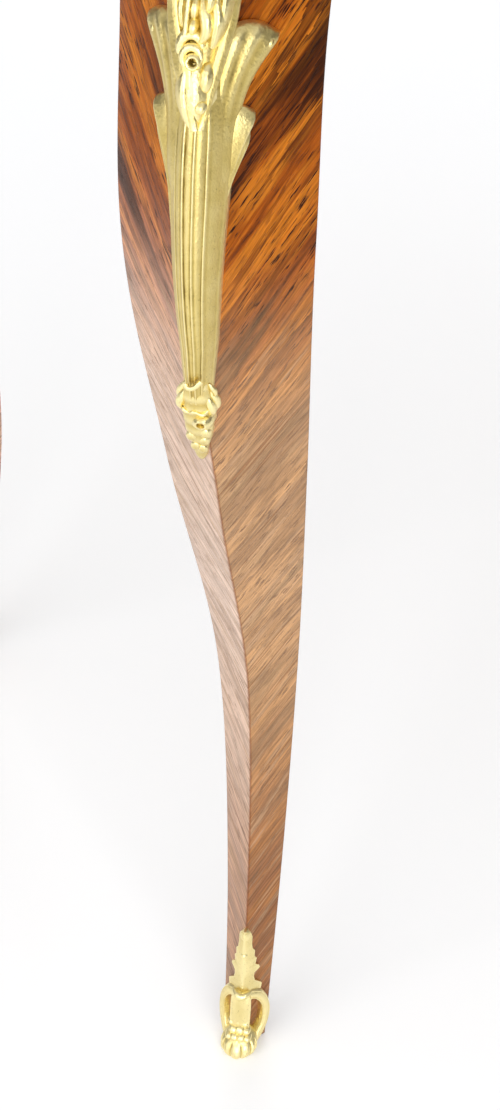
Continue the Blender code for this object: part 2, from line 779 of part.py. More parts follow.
def pin_rings(end, y, z):
    """A headed hinge pin along X, from the back of its arm to the head outside the link."""
    arm_back = TOP_WIDTH / 2 - HINGE_ARM_THICKNESS
    head = TOP_WIDTH / 2 + 2 * FIT_GAP + LINK_THICKNESS
    steps = (
        (arm_back, PIN_RADIUS),
        (head, PIN_RADIUS),
        (head, PIN_HEAD_RADIUS),
        (head + PIN_HEAD_THICKNESS, PIN_HEAD_RADIUS),
    )
    return [[(end * x, *point) for point in circle((y, z), radius, PIN_STEPS)] for x, radius in steps]


def pin_hole(end, y, z):
    """Cutter for a pin's hole, through the arm and the link alike."""
    outline = circle((y, z), PIN_RADIUS + PIN_CLEARANCE, PIN_STEPS)
    inner = TOP_WIDTH / 2 - 2 * HINGE_ARM_THICKNESS
    outer = TOP_WIDTH / 2 + 2 * (LINK_THICKNESS + HINGE_ARM_THICKNESS)
    return end_plate(outline, end * inner, end * outer)


def build_hinges(lower_axis, link_axis, upper_axis):
    pin_places = {"lower": MEETING_Z - PIN_SETBACK, "upper": MEETING_Z + PIN_SETBACK}
    axes = {"lower": lower_axis, "upper": upper_axis}
    for end_name, end in ENDS.items():
        face = TOP_WIDTH / 2
        for leaf_name, pin_z in pin_places.items():
            origin = (end * face, PIN_Y, pin_z)
            front = HINGE_Y - HINGE_ARM_LENGTH + HINGE_ARM_HALF_HEIGHT
            outline = stadium((front, pin_z), (PIN_Y, pin_z), HINGE_ARM_HALF_HEIGHT, EDGE_ROUND_STEPS)
            rings = end_plate(outline, end * (face - HINGE_ARM_THICKNESS), end * face)
            arm_name = f"{leaf_name}_hinge_arm_{end_name}"
            arm = add_piece(arm_name, loft("arm", rings), "hinge_brass", origin, axes[leaf_name])
            cut(arm, f"{arm_name}_hole", loft("hole", pin_hole(end, PIN_Y, pin_z)))
            pin = loft("pin", pin_rings(end, PIN_Y, pin_z))
            add_piece(f"{leaf_name}_hinge_pin_{end_name}", pin, "hinge_brass", origin, axes[leaf_name])
        centres = [(PIN_Y, z) for z in pin_places.values()]
        outline = stadium(*centres, HINGE_ARM_HALF_HEIGHT, EDGE_ROUND_STEPS)
        rings = end_plate(outline, end * (face + FIT_GAP), end * (face + FIT_GAP + LINK_THICKNESS))
        origin = (end * face, PIN_Y, pin_places["lower"])
        link = add_piece(f"hinge_link_{end_name}", loft("link", rings), "hinge_brass", origin, link_axis)
        holes = [pin_hole(end, y, z) for y, z in centres]
        cut(link, f"hinge_link_{end_name}_holes", loft("holes", *holes))


# Swivel


def turned(centre, *steps):
    """Rings of a round piece about an upright axis, from (height, radius) steps."""
    return [[(x, y, z) for x, y in circle(centre, radius, ROUND_STEPS)] for z, radius in steps]


def build_swivel(lower_leaf, axis):
    """Pivot rail in the frame, and the plate, bolt, washer and nut that turn with the lower leaf."""
    x, y, g = PIVOT.x, PIVOT.y, FIT_GAP
    half = PIVOT_RAIL_WIDTH / 2
    reach = WELL_Y + PIVOT_HOUSING
    rail_low = FRAME_TOP - PIVOT_RAIL_HEIGHT
    rail = add_piece(
        "pivot_rail",
        box("pivot_rail", (x - half, -reach, rail_low), (x + half, reach, FRAME_TOP)),
        "carcase_oak",
        (x, 0, rail_low),
    )
    hole = PIVOT_BOLT_RADIUS + PIVOT_BOLT_CLEARANCE
    bore = turned((x, y), (rail_low - PIVOT_RAIL_HEIGHT, hole), (TABLE_HEIGHT, hole))
    cut(rail, "pivot_rail_bore", loft("bore", bore))

    plate_low = LOWER_LEAF_Z
    plate_top = plate_low + PIVOT_PLATE_THICKNESS
    side = PIVOT_PLATE_SIDE / 2
    plate_mesh = box("plate", (x - side, y - side, plate_low), (x + side, y + side, plate_top))
    pivot_plate = add_piece("pivot_plate", plate_mesh, "hinge_brass", PIVOT, axis)
    cut(pivot_plate, "pivot_plate_bore", loft("bore", bore))
    seat, below = side + g, plate_low - PIVOT_PLATE_THICKNESS
    seat_mesh = box("seat", (x - seat, y - seat, below), (x + seat, y + seat, plate_top + g))
    cut(lower_leaf, "pivot_plate_seat", seat_mesh)

    washer_top = rail_low - g
    nut_top = washer_top - WASHER_THICKNESS - g
    tail = nut_top - NUT_THICKNESS - BOLT_TAIL
    bolt = turned((x, y), (tail, PIVOT_BOLT_RADIUS), (plate_top, PIVOT_BOLT_RADIUS))
    add_piece("pivot_bolt", loft("bolt", bolt), "pivot_steel", PIVOT, axis)
    washer = turned((x, y), (washer_top - WASHER_THICKNESS, WASHER_RADIUS), (washer_top, WASHER_RADIUS))
    washer_piece = add_piece("pivot_washer", loft("washer", washer), "pivot_steel", PIVOT, axis)
    cut(washer_piece, "pivot_washer_bore", loft("bore", bore))
    hexagon = circle((x, y), NUT_RADIUS, 6)
    nut = loft("nut", plate(hexagon, nut_top - NUT_THICKNESS, nut_top))
    nut_piece = add_piece("pivot_nut", nut, "pivot_steel", PIVOT, axis)
    cut(nut_piece, "pivot_nut_bore", loft("bore", bore))


def build_stop_peg(lower_leaf, axis):
    """Peg under the leaf that meets the back rail when closed and the front rail after a quarter turn."""
    meet = WELL_Y - STOP_PEG_RADIUS - STOP_PEG_CLEARANCE
    centre = (PIVOT.x - meet - PIVOT.y, meet)
    low, high = LOWER_LEAF_Z - STOP_PEG_DROP, LOWER_LEAF_Z + STOP_PEG_SOCKET
    peg = turned(centre, (low, STOP_PEG_RADIUS), (high, STOP_PEG_RADIUS))
    add_piece("stop_peg", loft("peg", peg), "carcase_oak", (*centre, LOWER_LEAF_Z), axis)
    radius = STOP_PEG_RADIUS + FIT_GAP
    socket = turned(centre, (LOWER_LEAF_Z - STOP_PEG_SOCKET, radius), (high + FIT_GAP, radius))
    cut(lower_leaf, "stop_peg_socket", loft("socket", socket))


def main():
    clear_scene()
    build_legs()
    build_chutes()
    build_sabots()
    build_rails()
    build_slide_strips()
    build_card_well()
    build_apron_shell()

    swivel_axis = add_axis("swivel_axis", PIVOT)
    link_axis = add_axis("link_axis", (0, PIN_Y, MEETING_Z - PIN_SETBACK), swivel_axis)
    leaf_axis = add_axis("leaf_axis", (0, PIN_Y, MEETING_Z + PIN_SETBACK), link_axis)
    lower_leaf = build_leaf("lower", LOWER_LEAF_Z, MEETING_Z - FIT_GAP, -1, swivel_axis)
    build_leaf("upper", MEETING_Z + FIT_GAP, MEETING_Z + FIT_GAP, 1, leaf_axis)
    build_hinges(swivel_axis, link_axis, leaf_axis)
    build_swivel(lower_leaf, swivel_axis)
    build_stop_peg(lower_leaf, swivel_axis)


main()
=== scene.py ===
"""Dresses the fold-over card table: veneer, gilt bronze mounts, baize, hinges, floor, light and camera."""

import bisect
import logging
import math
from dataclasses import dataclass
from enum import Enum
from typing import Callable, Sequence

import bmesh
import bpy
import numpy as np
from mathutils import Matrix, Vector


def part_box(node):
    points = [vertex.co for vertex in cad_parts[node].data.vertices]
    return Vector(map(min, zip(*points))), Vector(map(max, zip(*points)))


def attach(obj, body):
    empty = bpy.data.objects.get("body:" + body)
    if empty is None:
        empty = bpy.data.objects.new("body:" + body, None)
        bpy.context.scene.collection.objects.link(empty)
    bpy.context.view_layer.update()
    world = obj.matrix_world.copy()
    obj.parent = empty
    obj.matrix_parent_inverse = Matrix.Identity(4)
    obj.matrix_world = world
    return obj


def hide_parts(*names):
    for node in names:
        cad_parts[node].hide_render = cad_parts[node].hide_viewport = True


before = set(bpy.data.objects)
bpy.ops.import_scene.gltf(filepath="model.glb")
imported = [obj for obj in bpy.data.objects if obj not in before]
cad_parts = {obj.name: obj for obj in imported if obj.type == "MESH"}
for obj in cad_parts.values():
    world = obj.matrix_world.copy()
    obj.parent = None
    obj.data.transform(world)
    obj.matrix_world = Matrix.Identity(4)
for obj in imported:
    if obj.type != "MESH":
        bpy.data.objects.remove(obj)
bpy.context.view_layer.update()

LOG = logging.getLogger("card_table")
METRE = 1.0
MM = 0.001
ROOT_HALF = math.sqrt(0.5)
SHARP_ANGLE = math.radians(50)

Spot = tuple[float, float]
Span = tuple[float, float]
Point = tuple[float, float, float]
Colour = tuple[float, float, float]
Line = tuple[Spot, ...]
Rows = tuple[Point, ...]
Placing = Callable[[float, float, float], Point]
Mesh = bpy.types.Mesh
Material = bpy.types.Material
Socket = bpy.types.NodeSocket
Value = Socket | float
Paint = Socket | Colour
Surface = tuple[Socket, Socket, Socket]


class Corner(Enum):
    """The four legs, by the signs of their place in X and Y."""

    FRONT_LEFT = (-1, -1)
    FRONT_RIGHT = (1, -1)
    BACK_LEFT = (-1, 1)
    BACK_RIGHT = (1, 1)

    @property
    def label(self) -> str:
        """Name of the corner as the nodes have it."""
        return self.name.lower()

    @property
    def mirrored(self) -> bool:
        """True where the corner is a mirror image of the front left one."""
        return self.value[0] * self.value[1] < 0


class Body(Enum):
    """Bodies of the model that pieces ride on."""

    FRAME = "frame"
    LOWER_TOP = "lower_top"
    UPPER_TOP = "upper_top"


class Slot(Enum):
    """Material slots of the record."""

    VENEER = "rosewood_veneer"
    GILT = "gilt_bronze"
    BRASS = "hinge_brass"
    STEEL = "pivot_steel"
    BAIZE = "green_baize"


class Layout(Enum):
    """How sheets of veneer are laid on a surface."""

    CHEVRON = "diagonal, mirrored on a centre line"
    QUARTERED = "four matched panels in a crossbanded border"


# Curves and meshes


class SmoothCurve:
    """Smooth curve through given stations, with finite-difference slopes."""

    def __init__(self, places: Sequence[float], values: Sequence[float]) -> None:
        """Works out the slope at each station.

        Args:
            places: rising places of the stations.
            values: the curve's value at each of them.
        """
        gaps = [b - a for a, b in zip(places, places[1:])]
        rises = [(b - a) / gap for a, b, gap in zip(values, values[1:], gaps)]
        inner = [
            (rises[i - 1] * gaps[i] + rises[i] * gaps[i - 1]) / (gaps[i - 1] + gaps[i])
            for i in range(1, len(rises))
        ]
        first = 1.5 * rises[0] - 0.5 * inner[0] if inner else rises[0]
        last = 1.5 * rises[-1] - 0.5 * inner[-1] if inner else rises[-1]
        self.places = list(places)
        self.values = list(values)
        self.gaps = gaps
        self.slopes = [first, *inner, last]

    def __call__(self, place: float) -> float:
        """Gives the curve's value at a place."""
        i = min(max(bisect.bisect_right(self.places, place) - 1, 0), len(self.gaps) - 1)
        gap = self.gaps[i]
        t = (place - self.places[i]) / gap
        return (
            (1 + 2 * t) * (1 - t) ** 2 * self.values[i]
            + t * (1 - t) ** 2 * gap * self.slopes[i]
            + t * t * (3 - 2 * t) * self.values[i + 1]
            + t * t * (t - 1) * gap * self.slopes[i + 1]
        )


def smooth_step(share: float) -> float:
    """Eases a share from 0 to 1."""
    share = min(1.0, max(0.0, share))
    return share * share * (3 - 2 * share)


def soft_line(away: float, width: float) -> float:
    """Gives the height of a soft raised line, 1 on the line itself."""
    return math.exp(-((away / width) ** 2))


def even_steps(start: float, end: float, steps: int) -> list[float]:
    """Gives even places from start to end."""
    return [start + (end - start) * i / steps for i in range(steps + 1)]


def between(first: Sequence[float], second: Sequence[float], share: float) -> tuple[float, ...]:
    """Gives the place at a share of the way from one place to another."""
    return tuple(a + (b - a) * share for a, b in zip(first, second))


def smooth_line(points: Sequence[Sequence[float]], steps: int) -> list[tuple[float, ...]]:
    """Gives even points on a smooth line through given ones.

    Args:
        points: the given points, of any number of coordinates.
        steps: number of even steps along the line.

    Returns:
        The steps + 1 points.
    """
    runs = [0.0]
    for a, b in zip(points, points[1:]):
        runs.append(runs[-1] + math.dist(a, b))
    curves = [SmoothCurve(runs, coordinate) for coordinate in zip(*points)]
    return [tuple(curve(run) for curve in curves) for run in even_steps(0.0, runs[-1], steps)]


def line_run(line: Sequence[Spot], i: int) -> Vector:
    """Gives the direction of a line at one of its points."""
    before, after = line[max(i - 1, 0)], line[min(i + 1, len(line) - 1)]
    return Vector((after[0] - before[0], after[1] - before[1])).normalized()


def beside_line(line: Sequence[Spot], i: int, reach: float) -> tuple[Spot, Spot]:
    """Gives the two places beside a point of a line.

    Args:
        line: points of the line.
        i: number of the point.
        reach: distance of the two places from it.

    Returns:
        The place on the left and the place on the right.
    """
    run = line_run(line, i)
    x, y = line[i]
    return (x - run.y * reach, y + run.x * reach), (x + run.y * reach, y - run.x * reach)


def on_side(points: Sequence[Sequence[float]], side: float) -> list[tuple[float, ...]]:
    """Mirrors places across the ridge where side is -1."""
    return [(side * point[0], *point[1:]) for point in points]


def circle(middle: Spot, radius: float, sides: int) -> list[Spot]:
    """Gives the corners of a round outline."""
    turns = [2 * math.pi * i / sides for i in range(sides)]
    return [(middle[0] + radius * math.cos(turn), middle[1] + radius * math.sin(turn)) for turn in turns]


def sharpened(build: bmesh.types.BMesh, name: str) -> Mesh:
    """Turns a built surface into a mesh with outward faces and marked edges.

    Args:
        build: the surface, which is freed.
        name: the mesh's name.

    Returns:
        The mesh.
    """
    bmesh.ops.recalc_face_normals(build, faces=build.faces)
    mesh = bpy.data.meshes.new(name)
    build.to_mesh(mesh)
    build.free()
    mesh.set_sharp_from_angle(angle=SHARP_ANGLE)
    return mesh


def mark_wear_and_shade(mesh: Mesh, passes: int = 2, gain: float = 1.6) -> None:
    """Stores at each vertex how far it stands proud, from 0 in a hollow to 1 on an edge; the gilt reads it
    as wear and as painted shade in the hollows.

    Args:
        mesh: the mesh that gets the attribute "wear_and_shade".
        passes: number of times that the values are evened out along the edges.
        gain: how strongly a bend of the surface counts.
    """
    count = len(mesh.vertices)
    places = np.empty(count * 3)
    normals = np.empty(count * 3)
    ends = np.empty(len(mesh.edges) * 2, dtype=np.int64)
    mesh.vertices.foreach_get("co", places)
    mesh.vertices.foreach_get("normal", normals)
    mesh.edges.foreach_get("vertices", ends)
    places, normals, ends = places.reshape(-1, 3), normals.reshape(-1, 3), ends.reshape(-1, 2)
    first, second = ends[:, 0], ends[:, 1]
    run = places[second] - places[first]
    run /= np.maximum(np.linalg.norm(run, axis=1), 1e-9)[:, None]
    meeting = np.maximum(np.bincount(ends.ravel(), minlength=count), 1)
    proud = np.bincount(first, -(normals[first] * run).sum(1), count)
    proud += np.bincount(second, (normals[second] * run).sum(1), count)
    proud /= meeting
    for _ in range(passes):
        around = np.bincount(first, proud[second], count) + np.bincount(second, proud[first], count)
        proud = 0.5 * proud + 0.5 * around / meeting
    shares = np.clip(0.5 + gain * proud, 0.0, 1.0).astype(np.float32)
    mesh.attributes.new("wear_and_shade", "FLOAT", "POINT").data.foreach_set("value", shares)


@dataclass(frozen=True)
class Petal:
    """One small leaf of a mount, in millimetres."""

    spine: Line  # places along its middle, from root to tip
    half_width: float  # half its greatest width
    base: float  # stand-off of its edges
    rise: float  # height of its body above its edges
    crease: float = 0.3  # depth of the crease as a share of the rise


class Casting:
    """Collects closed shells, given in the coordinates of the surface that they lie on, as one mesh."""

    def __init__(self, place: Placing, back: float = -0.7, unit: float = MM) -> None:
        """Starts an empty casting.

        Args:
            place: turns a place across, along and out from the surface, in metres, into a world place.
            back: stand-off of the shells' backs, inside the wood.
            unit: metres in one unit of the shells' places and sizes.
        """
        self.place = place
        self.back = back
        self.unit = unit
        self.points: list[Point] = []
        self.faces: list[list[int]] = []

    def beside(self, place: Placing, back: float) -> "Casting":
        """Gives a casting that adds to the same mesh in other coordinates.

        Args:
            place: the other way of placing.
            back: stand-off of the shells' backs in those coordinates.

        Returns:
            The casting that shares this one's mesh.
        """
        other = Casting(place, back, self.unit)
        other.points, other.faces = self.points, self.faces
        return other

    def loft(self, rings: Sequence[Sequence[Point]], closed: bool = False) -> None:
        """Adds a shell through rings of equal count.

        Args:
            rings: rings of (across, along, out) places.
            closed: joins the last ring to the first, in place of two capped ends.
        """
        start, count = len(self.points), len(rings[0])
        for ring in rings:
            self.points.extend(self.place(*(self.unit * value for value in place)) for place in ring)
        rows = len(rings) if closed else len(rings) - 1
        for row in range(rows):
            low = start + row * count
            high = start + (row + 1) % len(rings) * count
            for i in range(count):
                j = (i + 1) % count
                self.faces.append([low + i, low + j, high + j, high + i])
        if not closed:
            self.faces.append([start + i for i in range(count)])
            self.faces.append([start + (len(rings) - 1) * count + i for i in range(count)])

    def sheet(
        self,
        edges: Sequence[tuple[Spot, Spot]],
        columns: int,
        height: Callable[[float, float], float],
    ) -> None:
        """Adds a relief between two edge lines, with its back inside the wood.

        Args:
            edges: pairs of places on the two edges, from one end to the other.
            columns: steps across.
            height: stand-off at a share across from -1 to 1 and a share along from 0 to 1.
        """
        rings = []
        for row, (left, right) in enumerate(edges):
            along = row / (len(edges) - 1)
            ring = []
            for column in range(columns + 1):
                share = column / columns
                ring.append((*between(left, right, share), height(2 * share - 1, along)))
            ring.append((*right, self.back))
            ring.append((*left, self.back))
            rings.append(ring)
        self.loft(rings)

    def tube(
        self,
        path: Sequence[Point],
        radius: Callable[[float], float],
        sides: int = 10,
        closed: bool = False,
    ) -> None:
        """Adds a round bar along a path.

        Args:
            path: (across, along, out) places along its middle.
            radius: the bar's radius at a share of its length.
            sides: corners of its section.
            closed: joins its two ends.
        """
        rings = []
        count = len(path)
        for i, middle in enumerate(path):
            before = path[i - 1] if i or closed else path[0]
            after = path[(i + 1) % count] if closed or i < count - 1 else path[-1]
            run = (Vector(after) - Vector(before)).normalized()
            side = run.cross(Vector((0, 0, 1))).normalized()
            rise = side.cross(run)
            size = radius(i / (count - 1))
            section = circle((0, 0), size, sides)
            rings.append([tuple(Vector(middle) + side * a + rise * b) for a, b in section])
        self.loft(rings, closed)

    def ring(self, middle: Point, radius: float, thickness: float, tall: float = 1.0) -> None:
        """Adds a round or oval ring that lies on the surface.

        Args:
            middle: (across, along, out) place of its middle.
            radius: half its width, to the middle of the bar.
            thickness: radius of the bar.
            tall: its height as a share of its width.
        """
        path = [
            (middle[0] + radius * a, middle[1] + radius * b * tall, middle[2])
            for a, b in circle((0, 0), 1.0, 28)
        ]
        self.tube(path, lambda share: thickness, 8, True)

    def boss(self, spot: Spot, base: float, radius: float, rise: float, tall: float = 1.0) -> None:
        """Adds a round or oval dome.

        Args:
            spot: (across, along) place of its middle.
            base: stand-off of its foot.
            radius: half its width.
            rise: height of the dome above its foot.
            tall: its height along the surface as a share of its width.
        """
        turns = [math.pi / 2 * step / 6.3 for step in range(7)]
        dome = [(radius * math.cos(turn), base + rise * math.sin(turn)) for turn in turns]
        self.turned(spot, [(radius, min(self.back, base - 1.0)), *dome], tall)

    def turned(self, spot: Spot, section: Sequence[Spot], tall: float = 1.0) -> None:
        """Adds a turned form.

        Args:
            spot: (across, along) place of its middle.
            section: radius and stand-off of each of its rings, from its back to its middle.
            tall: its height along the surface as a share of its width.
        """
        sides = 20
        rings = []
        for radius, out in section:
            rings.append([(spot[0] + a, spot[1] + b * tall, out) for a, b in circle((0, 0), radius, sides)])
        self.loft(rings)

    def petal(self, form: Petal, side: float = 1.0) -> None:
        """Adds a pointed leaf with a crease down its middle.

        Args:
            form: the leaf's form.
            side: -1 mirrors it across the ridge.
        """
        steps = 14
        line = smooth_line(on_side(form.spine, side), steps)
        edges = []
        for i in range(steps + 1):
            fullness = math.sin(math.pi * (0.16 + 0.84 * i / steps)) ** 0.8
            edges.append(beside_line(line, i, form.half_width * max(0.06, fullness)))

        def height(across: float, along: float) -> float:
            """Domed section, lower at the root and the tip."""
            dome = (1 - across * across) * math.sin(math.pi * (0.22 + 0.7 * along))
            return form.base + form.rise * dome * (1 - form.crease * soft_line(across, 0.22))

        self.sheet(edges, 10, height)

    def mesh(self, name: str, flip: bool = False) -> Mesh:
        """Makes the mesh of all shells.

        Args:
            name: the mesh's name.
            flip: turns the faces over, where the surface is a mirror image.

        Returns:
            The mesh, smooth, with its wear and painted shade stored.
        """
        made = bpy.data.meshes.new(name)
        faces = [list(reversed(face)) for face in self.faces] if flip else self.faces
        made.from_pydata(self.points, [], faces)
        build = bmesh.new()
        build.from_mesh(made)
        bmesh.ops.recalc_face_normals(build, faces=build.faces)
        build.to_mesh(made)
        build.free()
        made.shade_smooth()
        made.set_sharp_from_angle(angle=SHARP_ANGLE)
        mark_wear_and_shade(made)
        return made


def add_piece(
    name: str,
    mesh: Mesh,
    materials: Sequence[Material],
    body: Body,
    slot: Slot,
    stands_for: Sequence[str] = (),
) -> bpy.types.Object:
    """Adds a piece that rides on a body.

    Args:
        name: the piece's name.
        mesh: its mesh, in world places.
        materials: its materials, in the order of the mesh's indices.
        body: the body that it moves with.
        slot: the record's slot for its finish; not used.
        stands_for: nodes that it replaces.

    Returns:
        The new object.
    """
    for material in materials:
        mesh.materials.append(material)
    made = bpy.data.objects.new(name, mesh)
    bpy.context.scene.collection.objects.link(made)
    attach(made, body.value)
    if stands_for:
        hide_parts(*stands_for)
    LOG.info("%s rides on %s, %d vertices", name, body.value, len(mesh.vertices))
    return made


def dress(node: str, material: Material) -> None:
    """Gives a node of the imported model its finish."""
    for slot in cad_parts[node].material_slots:
        slot.material = material
    LOG.info("%s dressed in %s", node, material.name)


# Finishes


class Graph:
    """Short hand for the nodes of one material."""

    def __init__(self, name: str) -> None:
        """Starts a material with a principled shader."""
        self.material = bpy.data.materials.new(name)
        self.material.use_nodes = True
        self.tree = self.material.node_tree
        self.shader = self.tree.nodes["Principled BSDF"]

    def node(self, kind: str, **settings: object) -> bpy.types.Node:
        """Adds a node and sets its properties."""
        made = self.tree.nodes.new(kind)
        for key, value in settings.items():
            setattr(made, key, value)
        return made

    def feed(self, socket: Socket, value: object) -> None:
        """Links a socket, or sets it where the value is a plain one."""
        if isinstance(value, bpy.types.NodeSocket):
            self.tree.links.new(value, socket)
        else:
            socket.default_value = value

    def math(self, operation: str, *values: Value) -> Socket:
        """Adds a sum on one to three values."""
        made = self.node("ShaderNodeMath", operation=operation)
        for socket, value in zip(made.inputs, values):
            self.feed(socket, value)
        return made.outputs[0]

    def times(self, first: Value, second: Value) -> Socket:
        """Multiplies two values."""
        return self.math("MULTIPLY", first, second)

    def scaled(self, value: Value, factor: Value, offset: Value) -> Socket:
        """Multiplies a value by a factor and adds an offset."""
        return self.math("MULTIPLY_ADD", value, factor, offset)

    def join(self, x: Value, y: Value, z: Value = 0.0) -> Socket:
        """Joins three values to a vector."""
        made = self.node("ShaderNodeCombineXYZ")
        for socket, value in zip(made.inputs, (x, y, z)):
            self.feed(socket, value)
        return made.outputs[0]

    def split(self, vector: Socket) -> list[Socket]:
        """Splits a vector into its three values."""
        made = self.node("ShaderNodeSeparateXYZ")
        self.feed(made.inputs[0], vector)
        return list(made.outputs)

    def object_place(self) -> Socket:
        """Gives the place on the piece at rest, in metres."""
        return self.node("ShaderNodeTexCoord").outputs["Object"]

    def laid_place(self) -> Socket:
        """Gives the place along and across the laid veneer, in metres."""
        return self.node("ShaderNodeUVMap", uv_map="laid").outputs["UV"]

    def wear_and_shade(self) -> Socket:
        """Gives the stored wear and painted shade of the mesh."""
        return self.node("ShaderNodeAttribute", attribute_name="wear_and_shade").outputs["Fac"]

    def noise(
        self, vector: Socket, scale: float, detail: float = 2.0, rough: float = 0.5, warp: float = 0.0
    ) -> Socket:
        """Adds a noise texture.

        Args:
            vector: the place on the surface.
            scale: marks per unit of the place.
            detail: number of finer layers.
            rough: strength of the finer layers.
            warp: how far the marks are bent.

        Returns:
            The noise's value.
        """
        made = self.node("ShaderNodeTexNoise")
        looks = {"Scale": scale, "Detail": detail, "Roughness": rough, "Distortion": warp}
        for name, value in looks.items():
            made.inputs[name].default_value = value
        self.feed(made.inputs["Vector"], vector)
        return made.outputs[0]

    def stretched(self, across: Socket, along: Socket, fine: float, coarse: float, **look: float) -> Socket:
        """Adds noise drawn out along the grain.

        Args:
            across: distance across the grain.
            along: distance along the grain.
            fine: marks per metre across.
            coarse: marks per metre along.
            look: detail, rough or warp of the noise.

        Returns:
            The noise's value.
        """
        vector = self.join(self.times(across, fine), self.times(along, coarse))
        return self.noise(vector, 1.0, **look)

    def range(
        self, value: Socket, low: float, high: float, to_low: float = 0.0, to_high: float = 1.0
    ) -> Socket:
        """Eases a value from one range to another.

        Args:
            value: the value.
            low: start of the first range.
            high: end of the first range.
            to_low: what low becomes.
            to_high: what high becomes.

        Returns:
            The eased value.
        """
        made = self.node("ShaderNodeMapRange", interpolation_type="SMOOTHSTEP")
        for socket, given in zip(made.inputs, (value, low, high, to_low, to_high)):
            self.feed(socket, given)
        return made.outputs[0]

    def ramp(self, value: Socket, *stops: tuple[float, Colour]) -> Socket:
        """Adds a colour ramp.

        Args:
            value: the value that picks the colour.
            stops: places on the ramp and their colours.

        Returns:
            The colour.
        """
        made = self.node("ShaderNodeValToRGB")
        elements = made.color_ramp.elements
        while len(elements) < len(stops):
            elements.new(1.0)
        for element, (place, colour) in zip(elements, stops):
            element.position = place
            element.color = (*colour, 1.0)
        self.feed(made.inputs[0], value)
        return made.outputs[0]

    def blend(self, share: Value, first: Paint, second: Paint, how: str = "MIX") -> Socket:
        """Mixes two colours.

        Args:
            share: share of the second colour.
            first: the colour below.
            second: the colour above.
            how: Blender's name for the way of mixing.

        Returns:
            The mixed colour.
        """
        made = self.node("ShaderNodeMix", data_type="RGBA", blend_type=how)
        self.feed(made.inputs[0], share)
        for socket, colour in ((made.inputs[6], first), (made.inputs[7], second)):
            self.feed(socket, colour if isinstance(colour, bpy.types.NodeSocket) else (*colour, 1.0))
        return made.outputs[2]

    def choose(self, share: Socket, first: Value, second: Value) -> Socket:
        """Mixes two values.

        Args:
            share: share of the second value.
            first: the value at 0.
            second: the value at 1.

        Returns:
            The mixed value.
        """
        made = self.node("ShaderNodeMix", data_type="FLOAT")
        for socket, value in ((made.inputs[0], share), (made.inputs[2], first), (made.inputs[3], second)):
            self.feed(socket, value)
        return made.outputs[0]

    def finish(
        self, colour: Socket, roughness: Socket, height: Socket, depth: float, **plain: object
    ) -> Material:
        """Joins the finish to the shader.

        Args:
            colour: base colour.
            roughness: roughness.
            height: height of the surface's marks, from 0 to 1.
            depth: depth of the marks in metres.
            plain: shader values that are the same all over, with _ for a space.

        Returns:
            The material.
        """
        bump = self.node("ShaderNodeBump")
        bump.inputs["Strength"].default_value = 1.0
        bump.inputs["Distance"].default_value = depth
        self.feed(bump.inputs["Height"], height)
        self.feed(self.shader.inputs["Base Color"], colour)
        self.feed(self.shader.inputs["Roughness"], roughness)
        self.feed(self.shader.inputs["Normal"], bump.outputs[0])
        for key, value in plain.items():
            self.shader.inputs[key.replace("_", " ")].default_value = value
        return self.material


@dataclass(frozen=True)
class LeafPlan:
    """Plan of a leaf of the top."""

    half_width: float = 0.480
    half_depth: float = 0.240
    serpentine_depth: float = 0.012
    serpentine_period: float = 1.25
    corner_radius: float = 0.018
    hinge_straight: float = 0.061
    joint_gap: float = 0.0003

    def serpentine(self, share: float) -> float:
        """Gives how far the edge draws in at a share of its length."""
        return self.serpentine_depth * (1 - math.cos(2 * math.pi * share / self.serpentine_period)) / 2

    def outline(self, inset: float, back: float, straight: float, fine: int = 3) -> list[Spot]:
        """Gives the leaf's plan from its left back corner, round the front, to its right back corner.

        Args:
            inset: distance inside the leaf's edge.
            back: place of the back edge.
            straight: straight part of the ends next to the back edge.
            fine: multiplies the number of steps.

        Returns:
            Points of the open outline.
        """
        half_x, half_y = self.half_width - inset, self.half_depth - inset
        drawn = self.serpentine(1.0) + self.corner_radius
        arc_x, arc_y = half_x - drawn, half_y - drawn
        right = []
        front_steps, corner_steps, side_steps = 11 * fine, 4 * fine, 10 * fine
        for x in even_steps(0.0, arc_x, front_steps):
            right.append((x, -half_y + self.serpentine(x / half_x)))
        for turn in even_steps(0.0, math.pi / 2, corner_steps)[1:-1]:
            x = arc_x + self.corner_radius * math.sin(turn)
            right.append((x, -arc_y - self.corner_radius * math.cos(turn)))
        for y in even_steps(-arc_y, back - straight, side_steps):
            share = (back - straight - y) / (half_y + back - straight)
            right.append((half_x - self.serpentine(share), y))
        right.append((half_x, back))
        return [(-x, y) for x, y in reversed(right[1:])] + right


